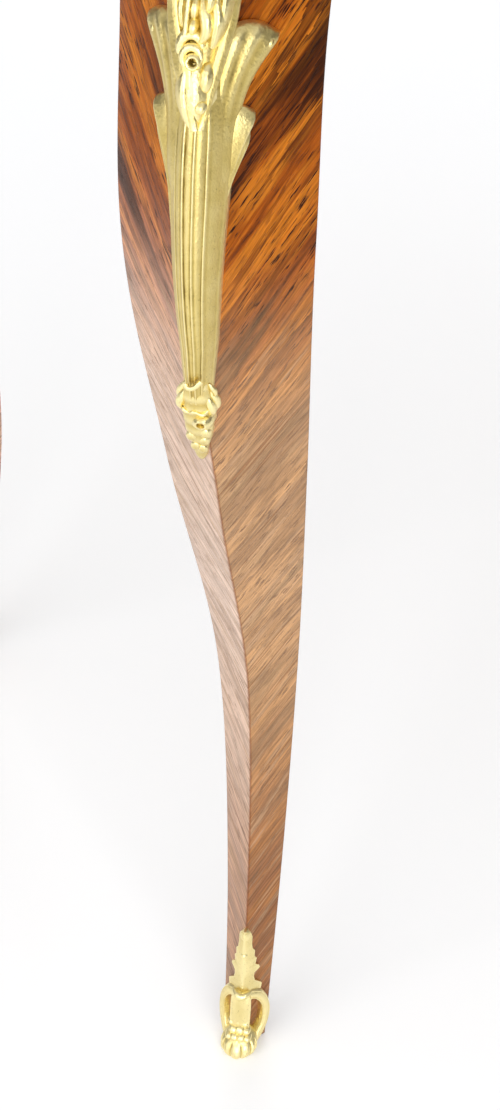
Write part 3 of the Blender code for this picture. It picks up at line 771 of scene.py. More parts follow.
@dataclass(frozen=True)
class VeneerFinish:
    """Polished rosewood veneer with dark streaks, laid on the bias."""

    name: str
    layout: Layout
    angle: float = math.radians(47)
    streak: Colour = (0.028, 0.0070, 0.0020)
    deep: Colour = (0.150, 0.032, 0.0030)
    body: Colour = (0.340, 0.078, 0.0045)
    pale: Colour = (0.520, 0.160, 0.0120)
    # Washes over the shin: tan is partly the wood's worn tone and partly painted reflection, wash_colour is
    # painted reflection of the bright floor on the end faces, dim is darker towards the foot; the washed
    # streak and vein colours pale the figure under them
    tan: Colour = (0.620, 0.385, 0.2000)
    wash_colour: Colour = (0.770, 0.590, 0.4950)
    dim: Colour = (0.160, 0.080, 0.0500)
    washed_streak: Colour = (0.200, 0.105, 0.0580)
    washed_vein: Colour = (0.440, 0.265, 0.1500)
    box_line: Colour = (0.520, 0.360, 0.1500)
    ebony_line: Colour = (0.020, 0.009, 0.0050)
    haze: float = 0.22  # share of a wash, painted reflection included, that also lies over the streaks
    sheet_offset: float = 0.41  # across the grain, between the two sheets of a chevron
    joint: Span = (0.0004, 0.0012)  # distances from the joint between which its dark line ends
    border: float = 0.040  # width of the crossbanding
    border_offset: float = 3.0  # across the grain, to the sheet of the crossbanding
    line_place: float = 0.0412  # of the inlaid line, in from the edge of the leaf
    box_half: float = 0.0011  # half width of the box line
    ebony_half: float = 0.0019  # half width of the box line with the ebony beside it
    depth: float = 0.00012  # of pores and fibres under the polish

    def figure(
        self, g: Graph, across: Socket, along: Socket, fades: Sequence[tuple[Socket, Colour]] = ()
    ) -> Surface:
        """Draws the wood's figure.

        Args:
            g: the material's graph.
            across: distance across the grain.
            along: distance along the grain.
            fades: shares and colours that the ground fades to, under the streaks.

        Returns:
            Colour, roughness and height of the surface.
        """
        sway = g.stretched(across, along, 14.0, 5.0, detail=2.0)
        bent = g.scaled(sway, 0.014, across)
        broad = g.stretched(bent, along, 56.0, 4.4, detail=5.0, rough=0.70)
        colour = g.ramp(
            broad,
            (0.32, self.streak),
            (0.40, self.deep),
            (0.48, self.body),
            (0.57, self.pale),
            (0.72, self.body),
        )

        # A washed ground, paled partly by painted reflection, has paler streaks, weaker shadow bands in the
        # figure and fine hair lines
        dark, vein = self.streak, self.deep
        shadow_depth, bare = 0.85, 0.0
        for share, wash_colour in fades:
            colour = g.blend(share, colour, wash_colour)
            paling = g.range(share, 0.0, 0.42)
            dark = g.blend(paling, dark, self.washed_streak)
            vein = g.blend(paling, vein, self.washed_vein)
            shadow_depth = g.times(shadow_depth, g.scaled(paling, -0.45, 1.0))
            bare = g.math("MAXIMUM", bare, paling)

        # Growth rings, veins, broad shadows and hair lines
        ring_place = g.scaled(broad, 2.6, g.times(bent, 34.0))
        ring = g.math("POWER", g.math("FRACT", ring_place), 5.0)
        patchy = g.range(g.stretched(across, along, 22.0, 7.0, detail=1.0), 0.42, 0.62)
        colour = g.blend(g.times(ring, g.times(patchy, 0.85)), colour, dark)
        veins = g.stretched(bent, along, 230.0, 15.0, detail=4.0, rough=0.65)
        colour = g.blend(g.range(veins, 0.50, 0.62, 0.0, 0.72), colour, vein)
        shadow = g.range(g.stretched(bent, along, 38.0, 5.0, detail=5.0, rough=0.6), 0.535, 0.625)
        colour = g.blend(g.times(shadow, shadow_depth), colour, dark)
        if fades:
            hair = g.stretched(bent, along, 520.0, 8.0, detail=2.0, rough=0.55)
            hair_line = g.range(hair, 0.60, 0.66, 0.0, 0.55)
            colour = g.blend(g.times(hair_line, bare), colour, self.deep)

        # Fibres, pores that gather in bands, and a haze of the washes, with their painted reflection, over
        # all of it
        fibre = g.stretched(bent, along, 680.0, 34.0, detail=3.0, rough=0.6)
        fibre_tone = g.range(fibre, 0.28, 0.72, 0.66, 1.26)
        colour = g.blend(1.0, colour, g.join(fibre_tone, fibre_tone, fibre_tone), "MULTIPLY")
        pore = g.range(g.stretched(bent, along, 950.0, 90.0, detail=2.0, rough=0.6), 0.555, 0.645)
        gathered = g.range(g.stretched(bent, along, 70.0, 16.0, detail=2.0), 0.38, 0.58, 0.35, 1.0)
        colour = g.blend(g.times(pore, gathered), colour, dark)
        for share, wash_colour in fades:
            colour = g.blend(g.times(share, self.haze), colour, wash_colour)
        roughness = g.scaled(fibre, 0.16, g.scaled(pore, 0.2, 0.16))
        height = g.math("SUBTRACT", g.times(fibre, 0.4), pore)
        return colour, roughness, height

    def diagonal(self, g: Graph, side: Socket, rise: Socket) -> tuple[Socket, Socket]:
        """Gives the distances across and along a grain that climbs away from a centre line.

        Args:
            g: the material's graph.
            side: distance from the centre line.
            rise: distance along the centre line.

        Returns:
            The distance across and the distance along the grain.
        """
        level, steep = math.cos(self.angle), math.sin(self.angle)
        along = g.math("ADD", g.times(side, level), g.times(rise, steep))
        across = g.math("SUBTRACT", g.times(rise, level), g.times(side, steep))
        return across, along

    @staticmethod
    def shin_fade(g: Graph, z: Socket, knee: Span, foot: Span, most: float, at_foot: float) -> Socket:
        """Gives a fade that gathers strength above the foot and ends on the knee, between given heights."""
        return g.times(g.range(z, *knee, most, 0.0), g.range(z, *foot, at_foot, 1.0))

    def chevron(self, g: Graph) -> Surface:
        """Draws diagonal veneer that is mirrored on the line where the laid place is 0.

        Args:
            g: the material's graph.

        Returns:
            Colour, roughness and height of the surface.
        """
        side, rise, _ = g.split(g.laid_place())
        far_half = g.math("LESS_THAN", side, 0.0)
        across, along = self.diagonal(g, g.math("ABSOLUTE", side), rise)
        across = g.scaled(far_half, self.sheet_offset, across)
        _, _, z = g.split(g.object_place())
        # the shin fades to a paler tan, partly the wood's worn tone and partly painted reflection of the
        # bright surroundings
        wear_and_sheen = self.shin_fade(g, z, (0.40, 0.530), (0.08, 0.27), most=0.70, at_foot=0.35)
        # painted reflection: the end faces are washed pale as if reflecting the bright floor
        end_face_reflection_fade = self.shin_fade(g, z, (0.40, 0.565), (0.06, 0.27), most=0.72, at_foot=0.50)
        end_face_reflection = g.times(far_half, end_face_reflection_fade)
        near_share = g.scaled(far_half, -0.4, 1.0)
        dimmed = g.times(g.range(z, 0.10, 0.26, 0.36, 0.0), near_share)
        fades = ((wear_and_sheen, self.tan), (end_face_reflection, self.wash_colour), (dimmed, self.dim))
        colour, roughness, height = self.figure(g, across, along, fades)
        joint = g.range(g.math("ABSOLUTE", side), *self.joint, 0.5, 0.0)
        colour = g.blend(joint, colour, self.deep)
        return colour, roughness, height

    def quartered(self, g: Graph, plan: LeafPlan) -> Surface:
        """Draws four matched panels inside a line of box and a crossbanded border.

        Args:
            g: the material's graph.
            plan: plan of the leaf.

        Returns:
            Colour, roughness and height of the surface.
        """
        x, y, _ = g.split(g.object_place())
        side, rise = g.math("ABSOLUTE", x), g.math("ABSOLUTE", y)

        def drawn_in(share: Socket) -> Socket:
            """How far the edge draws in."""
            turn = g.math("COSINE", g.times(share, 2 * math.pi / plan.serpentine_period))
            return g.times(g.math("SUBTRACT", 1.0, turn), plan.serpentine_depth / 2)

        front_share = g.math("DIVIDE", side, plan.half_width)
        front = g.math("SUBTRACT", g.math("ADD", y, plan.half_depth), drawn_in(front_share))
        straight = plan.half_depth - plan.hinge_straight
        end_share = g.math("DIVIDE", g.math("SUBTRACT", straight, y), straight + plan.half_depth)
        drawn_end = drawn_in(g.math("MAXIMUM", end_share, 0.0))
        end = g.math("SUBTRACT", g.math("SUBTRACT", plan.half_width, side), drawn_end)
        long_edge = g.math("MINIMUM", front, g.math("SUBTRACT", plan.half_depth, y))
        at_end = g.math("LESS_THAN", end, long_edge)
        edge = g.math("MINIMUM", end, long_edge)
        in_border = g.math("LESS_THAN", edge, self.border)
        across, along = self.diagonal(g, side, rise)
        band_across = g.math("ADD", g.choose(at_end, x, y), self.border_offset)
        across = g.choose(in_border, across, band_across)
        along = g.choose(in_border, along, edge)
        colour, roughness, height = self.figure(g, across, along)
        off_line = g.math("ABSOLUTE", g.math("SUBTRACT", edge, self.line_place))
        colour = g.blend(g.math("LESS_THAN", off_line, self.ebony_half), colour, self.ebony_line)
        colour = g.blend(g.math("LESS_THAN", off_line, self.box_half), colour, self.box_line)
        return colour, roughness, height

    def material(self, plan: LeafPlan | None = None) -> Material:
        """Makes the material.

        Args:
            plan: plan of the leaf, for the quartered layout.

        Returns:
            The material.
        """
        g = Graph(self.name)
        drawn = self.chevron(g) if self.layout is Layout.CHEVRON else self.quartered(g, plan)
        polish = {"Coat_Weight": 0.09, "Coat_Roughness": 0.08, "Specular_IOR_Level": 0.05}
        return g.finish(*drawn, self.depth, **polish)


@dataclass(frozen=True)
class PlainWoodFinish:
    """Solid wood with straight grain along one axis, for the carcase and the backs of the legs."""

    name: str
    dark: Colour
    light: Colour
    grain: str = "X"
    roughness: float = 0.55
    depth: float = 0.0003

    def material(self) -> Material:
        """Makes the material."""
        g = Graph(self.name)
        axes = dict(zip("XYZ", g.split(g.object_place())))
        along = axes.pop(self.grain)
        first, second = axes.values()
        across = g.math("ADD", first, g.times(second, 0.7))
        sway = g.stretched(across, along, 12.0, 3.0)
        bent = g.scaled(sway, 0.03, across)
        broad = g.stretched(bent, along, 90.0, 2.0, detail=3.0, rough=0.6)
        fibre = g.stretched(bent, along, 900.0, 14.0, detail=2.0)
        pore = g.range(g.stretched(across, along, 1300.0, 60.0, detail=1.0), 0.62, 0.74)
        tone = g.scaled(fibre, 0.5, g.times(broad, 0.6))
        colour = g.ramp(tone, (0.36, self.dark), (0.72, self.light))
        colour = g.blend(g.times(pore, 0.6), colour, self.dark)
        roughness = g.scaled(fibre, 0.2, self.roughness)
        return g.finish(colour, roughness, g.math("SUBTRACT", fibre, pore), self.depth)


@dataclass(frozen=True)
class GiltFinish:
    """Chased gilt bronze: burnished bright on the high places, dull and greenish in the hollows, where
    shade is also painted; the shoes are painted brighter near the floor.
    """

    name: str = "gilt_bronze_chased"
    hollow: Colour = (0.150, 0.098, 0.021)
    field: Colour = (0.660, 0.510, 0.165)
    bright: Colour = (0.940, 0.810, 0.410)
    painted_floor_light: float = 0.14  # how much brighter the shoes are painted, as painted light from the bright floor below
    painted_floor_light_end: Span = (0.06, 0.10)  # heights between which that painted light ends
    depth: float = 0.00036  # of the chaser's tool marks

    def material(self) -> Material:
        """Makes the material."""
        g = Graph(self.name)
        place = g.object_place()
        wear_and_shade = g.wear_and_shade()
        cloud = g.noise(place, 90.0, 3.0)
        speck = g.noise(place, 900.0, 2.0)
        tone = g.math("ADD", wear_and_shade, g.times(g.math("SUBTRACT", cloud, 0.5), 0.25))
        _, _, z = g.split(place)
        # painted light: the shoes get brighter towards the floor
        tone = g.math("ADD", tone, g.range(z, *self.painted_floor_light_end, self.painted_floor_light, 0.0))
        # hollows darken towards the hollow colour, partly dull matted gilding and partly painted shade;
        # high places are burnished bright
        colour = g.ramp(tone, (0.33, self.hollow), (0.475, self.field), (0.72, self.bright))
        colour = g.blend(g.range(speck, 0.62, 0.78, 0.0, 0.35), colour, self.hollow)
        smooth = g.range(wear_and_shade, 0.30, 0.75, 0.46, 0.27)
        roughness = g.scaled(cloud, 0.10, smooth)
        tooled = g.noise(place, 420.0, 2.0)
        uneven = g.math("ADD", cloud, g.times(tooled, 0.6))
        height = g.math("ADD", g.times(speck, 0.5), uneven)
        return g.finish(colour, roughness, height, self.depth, Metallic=1.0)


@dataclass(frozen=True)
class FiledMetalFinish:
    """Plain metal with file marks along one direction, and tarnish."""

    name: str
    colour: Colour
    tarnish: Colour
    depth: float = 0.00008

    def material(self) -> Material:
        """Makes the material."""
        g = Graph(self.name)
        x, y, z = g.split(g.object_place())
        marks = g.stretched(g.math("ADD", z, g.times(x, 0.4)), y, 2600.0, 60.0, detail=2.0)
        cloud = g.noise(g.object_place(), 160.0, 3.0)
        colour = g.blend(g.range(cloud, 0.45, 0.75, 0.0, 0.7), self.colour, self.tarnish)
        roughness = g.scaled(cloud, 0.25, g.scaled(marks, 0.15, 0.15))
        return g.finish(colour, roughness, marks, self.depth, Metallic=1.0)


@dataclass(frozen=True)
class BaizeFinish:
    """Fulled green wool cloth with a short nap."""

    name: str = "green_wool_baize"
    shade: Colour = (0.010, 0.072, 0.034)
    nap: Colour = (0.030, 0.150, 0.070)
    weave: float = 4200.0  # radians of the weave's wave per metre
    depth: float = 0.0004

    def material(self) -> Material:
        """Makes the material."""
        g = Graph(self.name)
        place = g.object_place()
        x, y, _ = g.split(place)
        wear_and_sheen = g.noise(place, 7.0, 3.0, 0.6)
        felt = g.noise(place, 1500.0, 3.0, 0.7, 1.2)
        warp, weft = (g.math("SINE", g.times(way, self.weave)) for way in (x, y))
        thread = g.times(warp, weft)
        uneven = g.scaled(thread, 0.05, g.times(wear_and_sheen, 0.3))
        tone = g.math("ADD", g.times(felt, 0.75), uneven)
        colour = g.ramp(tone, (0.30, self.shade), (0.72, self.nap))
        roughness = g.range(felt, 0.2, 0.8, 0.82, 1.0)
        height = g.scaled(thread, 0.15, felt)
        sheen = {"Sheen_Weight": 0.5, "Sheen_Roughness": 0.45, "Sheen_Tint": (0.45, 0.8, 0.5, 1.0)}
        return g.finish(colour, roughness, height, self.depth, Specular_IOR_Level=0.2, **sheen)


@dataclass
class Finishes:
    """All materials of the table, made once."""

    plan: LeafPlan

    def __post_init__(self) -> None:
        """Makes the materials."""
        self.leg = VeneerFinish("leg_veneer", Layout.CHEVRON).material()
        self.top = VeneerFinish("top_veneer", Layout.QUARTERED).material(self.plan)
        rosewood = ((0.050, 0.017, 0.007), (0.20, 0.080, 0.026))
        oak = ((0.150, 0.085, 0.036), (0.40, 0.27, 0.140))
        brass = ((0.72, 0.54, 0.25), (0.30, 0.19, 0.07))
        steel = ((0.45, 0.45, 0.46), (0.16, 0.13, 0.11))
        self.leg_back = PlainWoodFinish("leg_back_wood", *rosewood, "Z", 0.28).material()
        self.oak = PlainWoodFinish("carcase_oak_sawn", *oak).material()
        self.cross_oak = PlainWoodFinish("carcase_oak_cross", *oak, "Y").material()
        self.gilt = GiltFinish().material()
        self.brass = FiledMetalFinish("hinge_brass_filed", *brass).material()
        self.steel = FiledMetalFinish("pivot_steel_plain", *steel).material()
        self.baize = BaizeFinish().material()


# Legs


@dataclass(frozen=True)
class LegShape:
    """Form of the cabriole leg: how far its ridge swings out and how wide its faces are, by height."""

    pattern: Rows = (  # height, swing of the ridge, width of a face
        (0.000, 0.0190, 0.0170),
        (0.100, -0.0005, 0.0210),
        (0.240, -0.0020, 0.0290),
        (0.390, 0.0510, 0.0450),
        (0.520, 0.0870, 0.0555),
        (0.620, 0.0700, 0.0574),
    )
    pattern_height: float = 0.648
    post_start: float = 0.6483
    top: float = 0.7283
    post_foot_swing: float = 0.0625
    post_swing: float = 0.0580
    post_face: float = 0.0580
    frieze_x: float = 0.454
    frieze_y: float = 0.224
    turn_width: float = 0.006  # over which a mount turns from one face to the other

    def __post_init__(self) -> None:
        """Makes the two curves of the leg."""
        stretch = self.post_start / self.pattern_height
        stations = [(height * stretch, swing, face) for height, swing, face in self.pattern]
        stations.append((self.post_start, self.post_foot_swing, self.face_of_post(self.post_foot_swing)))
        stations.append((self.top, self.post_swing, self.post_face))
        heights, swings, faces = zip(*stations)
        object.__setattr__(self, "swing", SmoothCurve(heights, swings))
        object.__setattr__(self, "face_curve", SmoothCurve(heights, faces))

    def face_of_post(self, swing: float) -> float:
        """Gives the face width that keeps the post's inner faces upright."""
        return self.post_face + (swing - self.post_swing) * ROOT_HALF

    def face(self, z: float) -> float:
        """Gives the width of the leg's faces at a height."""
        return self.face_of_post(self.swing(z)) if z >= self.post_start else self.face_curve(z)

    def point(self, corner: Corner, along_x: float, along_y: float, z: float) -> Point:
        """Gives a world place on or in a leg.

        Args:
            corner: the leg's corner.
            along_x: distance inwards from the ridge, along X.
            along_y: distance inwards from the ridge, along Y.
            z: height above the floor.

        Returns:
            The place.
        """
        out = (self.swing(z) - self.post_swing) * ROOT_HALF
        side_x, side_y = corner.value
        return (side_x * (self.frieze_x + out - along_x), side_y * (self.frieze_y + out - along_y), z)

    def on_ridge(self, corner: Corner) -> Placing:
        """Gives the way to place a mount that wraps the ridge of one leg.

        Args:
            corner: the leg's corner.

        Returns:
            A function from the distance across the ridge, the height and the stand-off to a world place.
        """

        def place(across: float, z: float, out: float) -> Point:
            """World place on the mount."""
            share = smooth_step(across / self.turn_width / 2 + 0.5)
            length = math.hypot(share, 1 - share)
            along_x = max(across, 0.0) - out * (1 - share) / length
            along_y = max(-across, 0.0) - out * share / length
            return self.point(corner, along_x, along_y, z)

        return place

    def over_ridge(self, corner: Corner) -> Placing:
        """Gives the way to place a form that lies flat across the ridge of one leg.

        Args:
            corner: the leg's corner.

        Returns:
            A function from the distance across, the height and the distance out to a world place.
        """

        def place(across: float, z: float, out: float) -> Point:
            """World place on the form."""
            return self.point(corner, (across - out) * ROOT_HALF, (-across - out) * ROOT_HALF, z)

        return place


@dataclass
class Legs:
    """The four veneered cabriole legs."""

    shape: LegShape
    finishes: Finishes
    rows: int = 132
    edge_radius: float = 0.0013
    sheet_shift: float = 1.9  # along the veneer from one leg to the next

    def section(self, face: float) -> list[Point]:
        """Gives the leg's section: two distances from the ridge and the place on the laid veneer."""
        r = self.edge_radius
        half = [(face, face, 2 * face), (face, face / 2, 1.5 * face)]
        for turn in even_steps(0.0, math.pi / 2, 3):
            x, y = face - r + r * math.cos(turn), r - r * math.sin(turn)
            half.append((x, y, x + y))
        for x in even_steps(face - r, r, 5)[1:-1]:
            half.append((x, 0.0, x))
        for turn in even_steps(0.0, math.pi / 4, 2):
            x, y = r - r * math.sin(turn), r - r * math.cos(turn)
            half.append((x, y, x - y))
        return half + [(y, x, -u) for x, y, u in reversed(half[1:-1])]

    def mesh(self, corner: Corner, shift: float) -> Mesh:
        """Lofts one leg and lays its veneer.

        Args:
            corner: the leg's corner.
            shift: distance along the veneer at which this leg's sheet was cut.

        Returns:
            The mesh, with the outer faces first among its materials.
        """
        build = bmesh.new()
        laid = build.loops.layers.uv.new("laid")
        rows, ridge, before = [], shift, None
        for z in even_steps(0.0, self.shape.top, self.rows):
            section = self.section(self.shape.face(z))
            here = Vector(self.shape.point(corner, 0.0, 0.0, z))
            ridge += (here - before).length if before else 0.0
            before = here
            verts = [build.verts.new(self.shape.point(corner, x, y, z)) for x, y, _ in section]
            rows.append((verts, [u for _, _, u in section], ridge, self.shape.face(z)))
        for (low, low_u, low_v, face), (high, high_u, high_v, _) in zip(rows, rows[1:]):
            for i in range(len(low)):
                j = (i + 1) % len(low)
                made = build.faces.new((low[i], low[j], high[j], high[i]))
                ends = [(low_u[i], low_v), (low_u[j], low_v), (high_u[j], high_v), (high_u[i], high_v)]
                if j == 0:
                    ends[1] = (-low_u[0], low_v)
                    ends[2] = (-high_u[0], high_v)
                for loop, place in zip(made.loops, ends):
                    loop[laid].uv = place
                made.material_index = int(abs(low_u[i] + low_u[j]) / 2 > face + self.edge_radius)
                made.smooth = True
        for verts, _, _, _ in (rows[0], rows[-1]):
            build.faces.new(verts).material_index = 1
        return sharpened(build, "leg")

    def build(self) -> None:
        """Builds the four legs."""
        for number, corner in enumerate(Corner):
            mesh = self.mesh(corner, number * self.sheet_shift)
            name = f"leg_{corner.label}"
            materials = (self.finishes.leg, self.finishes.leg_back)
            add_piece(f"{name}_veneered", mesh, materials, Body.FRAME, Slot.VENEER, [name])


# Gilt bronze mounts


def swelling(ends: float, extra: float) -> Callable[[float], float]:
    """Gives the radius of a bar that swells from its ends to its middle."""
    return lambda share: ends + extra * math.sin(math.pi * share)


def tapering(start: float, end: float) -> Callable[[float], float]:
    """Gives the radius of a bar that tapers evenly."""
    return lambda share: start + (end - start) * share


@dataclass(frozen=True)
class Fan:
    """One leaf beside the stem of a knee mount, in millimetres on the leg's face."""

    inner: Line  # edge next to the stem, from root to rim
    outer: Line  # edge away from the stem, from root to tip
    bulge: float  # rise of the rim between its ends
    rise: Span  # stand-off at the inner and at the outer edge
    crown: float  # extra stand-off along the leaf's middle
    curl: float  # extra stand-off at the rim
    flutes: int = 1
    flute_depth: float = 0.0


@dataclass(frozen=True)
class Roll:
    """One roll over the eye of a knee mount, in millimetres."""

    middle: Spot
    half_width: float
    half_height: float
    out: float  # stand-off of its middle line
    thickness: float
    turns: Span  # where it starts and ends, in half turns


@dataclass(frozen=True)
class Leaflet:
    """One leaflet that curls round the bud of a knee mount."""

    side: int
    turn: float  # from the bud's front, in degrees
    z: float  # height of its middle, in millimetres
    size: float  # in millimetres


@dataclass
class KneeMounts:
    """The chutes: a reeded stem with fans of leaves, a rolled volute and a pod, that ends in a bud.

    Sizes and heights above the floor are in millimetres.
    """

    shape: LegShape
    finishes: Finishes
    lean: float = 0.017  # slope of the mount's middle line against the ridge, as in the photo
    lean_middle: float = 500
    tail_lean: float = 0.043  # further slope of the lower end
    tail_start: float = 487
    flat_back: float = -5  # stand-off of the backs of what lies flat across the ridge
    stem_back: float = -14
    stem: Rows = (  # height, half width, crown
        (458, 6.4, 4.4),
        (475, 8.0, 5.0),
        (495, 10.0, 5.2),
        (512, 11.4, 5.5),
        (537, 13.2, 6.0),
        (551, 14.2, 6.4),
        (565, 14.4, 7.0),
        (582, 13.8, 6.4),
        (600, 11.0, 4.6),
        (622, 10.4, 4.2),
        (660, 11.5, 4.6),
        (695, 14.0, 5.4),
        (712, 13.0, 5.0),
    )
    stem_edge: float = 1.5
    fillets: Line = ((-0.62, 0.80), (-0.27, 1.10), (0.10, 0.70), (0.50, 0.95))  # share across, rise
    fillets_end: float = 592
    fillets_fade: float = 18  # length over which they run out
    large_fan: Fan = Fan(
        ((1.6, 536), (2.4, 564), (3.4, 586), (5.8, 599), (9.4, 610)),
        (
            (12.4, 536), (14.4, 556), (16.2, 571), (17.4, 580), (18.8, 586), (20.8, 591), (23.8, 596),
            (27.6, 600.4), (32.2, 604.8),
        ),
        bulge=3.2, rise=(5.2, 2.4), crown=1.4, curl=2.4, flutes=3, flute_depth=0.40,
    )
    small_fan: Fan = Fan(
        ((3, 518), (5, 545), (7, 566), (10, 582.5)),
        ((9, 518), (12.4, 545), (15.4, 560), (18.4, 569.5), (21, 575), (23.4, 579.4)),
        bulge=1.6, rise=(0.6, 2.8), crown=0.5, curl=2.6,
    )
    lower_fan: Fan = Fan(
        ((3, 506), (4.5, 530), (6, 552), (9, 572)),
        ((8.6, 506), (10.8, 530), (12.6, 545), (15.2, 556), (18.4, 563.5), (20.8, 568.5), (22.0, 573.4)),
        bulge=0.8, rise=(0.6, 2.4), crown=0.5, curl=1.4,
    )
    fan_tilt: float = 0.07  # the fans sit a little higher on the end face, as in the photo
    fan_lip: float = 0.93  # share of a fan's length and width at which its edge rolls over
    fan_root: float = 2.6  # how far a fan's root is sunk
    fan_least: float = 0.3  # least stand-off of a fan
    tip_bead: Spot = (24.2, 603.0)
    tip_bead_shift: Spot = (1.3, -1.6)  # follows the lean and the tilt of the fans
    band: Line = (  # middle line of a band, from the pod to the frieze
        (0.4, 579), (1.0, 584), (2.0, 592), (3.6, 599), (5.5, 606), (7.4, 613), (8.4, 620), (9.4, 640),
        (10.5, 670), (13.0, 696),
    )
    volute_middle: Spot = (14.6, 704)
    volute_turns: float = 2.1
    volute_radius: float = 7.0
    volute_drawn_in: float = 5.8  # from its start to its middle
    rolls: tuple[Roll, ...] = (
        Roll((-2.6, 605.4), 3.9, 4.8, out=4.6, thickness=2.2, turns=(0.05, 1.2)),
        Roll((-1.9, 603.0), 3.3, 3.6, out=6.4, thickness=1.5, turns=(-0.1, 1.3)),
    )
    eye_middle: Spot = (-1.1, 602.0)
    eye: Line = (  # radius and stand-off of its rings, down into the drilled hole
        (3.1, -2.0), (3.1, 6.8), (2.9, 7.8), (2.3, 8.5), (1.7, 8.3), (1.35, 7.4), (1.25, 0.6), (0.2, 0.4),
    )
    pod: tuple[Petal, ...] = (
        Petal(((-0.8, 601), (-0.9, 592), (-0.2, 585), (0.9, 573.5)), 7.4, 0.6, 8.2, 0.0),
        Petal(((-3.4, 600), (-4.0, 592), (-2.8, 585), (0.2, 576)), 3.7, 4.0, 5.0, 0.0),
    )
    plain_fillet: Rows = (
        (-4.5, 611, 7.0), (-4.2, 617, 7.0), (-3.9, 623, 6.8), (-3.6, 640, 6.2), (-3.0, 668, 6.0),
        (-1.8, 694, 6.0),
    )
    foliage: tuple[Petal, ...] = (
        Petal(((-2.3, 609.6), (-2.1, 613.5), (-2.0, 617.6)), 2.9, 2.2, 6.0, 0.1),
        Petal(((-2.1, 615), (-1.9, 619.5), (-1.8, 624.6)), 2.9, 2.2, 5.8, 0.1),
        Petal(((0.8, 608), (2.8, 612), (2.8, 615), (1.4, 619), (0.2, 625)), 3.6, 2.4, 6.8, 0.1),
        Petal(((4.6, 606), (5.8, 611.6), (6.4, 616), (5.4, 620.4), (4.8, 628)), 3.3, 0.6, 7.0, 0.1),
        Petal(((2.8, 617), (3.6, 621.4), (3.4, 629)), 2.8, 2.0, 6.4, 0.1),
        Petal(((6.6, 610), (7.8, 616.4), (8.2, 622), (8.0, 630)), 2.6, -1.0, 6.6, 0.1),
        Petal(((-6.4, 611), (-7.0, 617), (-7.2, 626)), 2.6, -0.6, 6.2, 0.1),
    )
    husks: tuple[float, ...] = (634, 654, 674)
    palmette_z: float = 697
    palmette: tuple[Span, ...] = ((0, 26), (26, 24), (-26, 24), (52, 20), (-52, 20))  # turn, length
    clasp: Rows = (
        (-2.8, 470.2, 5.2), (-1.8, 469.2, 6.2), (0.2, 469.4, 6.6), (1.8, 470.8, 6.0), (3.2, 472.4, 4.8),
    )
    bud: Line = (  # height and radius
        (470, 4.0), (466, 5.2), (459, 6.2), (452, 6.3), (446.5, 6.2), (441, 5.8), (436, 5.2), (431, 3.9),
        (426, 3.2), (422, 2.2), (419.6, 0.9), (419.0, 0.2),
    )
    bud_flatness: float = 0.85
    bud_out: float = -1.0  # stand-off of the bud's middle line
    leaflets: tuple[Leaflet, ...] = (
        Leaflet(-1, 70, 457.5, 2.5),
        Leaflet(-1, 100, 460.5, 2.6),
        Leaflet(1, 62, 456.0, 2.5),
        Leaflet(1, 92, 458.0, 2.8),
        Leaflet(1, 84, 464.0, 1.6),
    )
    leaflet_curl: Line = (  # height and distance from the bud's middle line
        (5.5, 4.8), (2.5, 6.0), (-0.5, 7.0), (-3.2, 7.2), (-5.2, 6.2),
    )
    leaflet_size: float = 2.6  # of the leaflet that the curl is drawn for
    collar: Spot = (6.7, 453.2)  # radius and height
    rolled_leaf_middle: Spot = (2.2, 446.8)
    rolled_leaf: Line = (  # radius and stand-off of its rings, down into its hole
        (4.6, -3.0), (4.4, 2.6), (3.6, 4.8), (2.5, 6.0), (1.7, 5.9), (1.3, 4.9), (1.2, -1.5), (0.2, -1.7),
    )
    seeds: Rows = (  # distance across, height, radius
        (3.0, 439.5, 2.7), (2.2, 434.0, 2.4), (1.4, 428.5, 2.1), (-2.6, 436.5, 2.6), (-1.4, 430.0, 2.2),
    )

    def leaned(self, place: Placing) -> Placing:
        """Gives a way of placing that follows the mount's slight lean.

        Args:
            place: a way of placing on the leg.

        Returns:
            The leaned one.
        """

        def moved(across: float, z: float, out: float) -> Point:
            """World place with the lean added."""
            shift = self.lean * (z - self.lean_middle * MM)
            shift += self.tail_lean * min(0.0, z - self.tail_start * MM)
            return place(across + shift, z, out)

        return moved

    def build_stem(self, casting: Casting) -> None:
        """Adds the stem: reeded below the pod, a plain sunk field above it."""
        heights, widths, crowns = zip(*self.stem)
        half_width, crown = SmoothCurve(heights, widths), SmoothCurve(heights, crowns)
        foot, top = heights[0], heights[-1]
        edges = []
        for z in even_steps(foot, top, 150):
            reach = (half_width(z) + self.stem_edge) * ROOT_HALF
            edges.append(((-reach, z), (reach, z)))

        def height(across: float, along: float) -> float:
            """Low rounded section with thin fillets along it and a line at each edge."""
            z = foot + (top - foot) * along
            edge_out = -(half_width(z) - self.stem_edge) * ROOT_HALF
            out = crown(z) - (crown(z) - edge_out) * abs(across) ** 2.3
            reeded = smooth_step((self.fillets_end - z) / self.fillets_fade)
            for middle, rise in self.fillets:
                away = (across - middle) * (half_width(z) + self.stem_edge) * ROOT_HALF
                out += reeded * rise * (soft_line(away, 0.50) - 0.70 * soft_line(away, 1.4))
            return out + 0.5 * soft_line(abs(across) - 0.95, 0.04)

        casting.sheet(edges, 120, height)

    def build_fan(self, casting: Casting, side: int, fan: Fan) -> None:
        """Adds a softly fluted leaf with rolled edges.

        Args:
            casting: the mount.
            side: 1 for the front or back face, -1 for the end face.
            fan: the leaf's form.
        """
        steps = 30
        inner, outer = (smooth_line(on_side(line, side), steps) for line in (fan.inner, fan.outer))

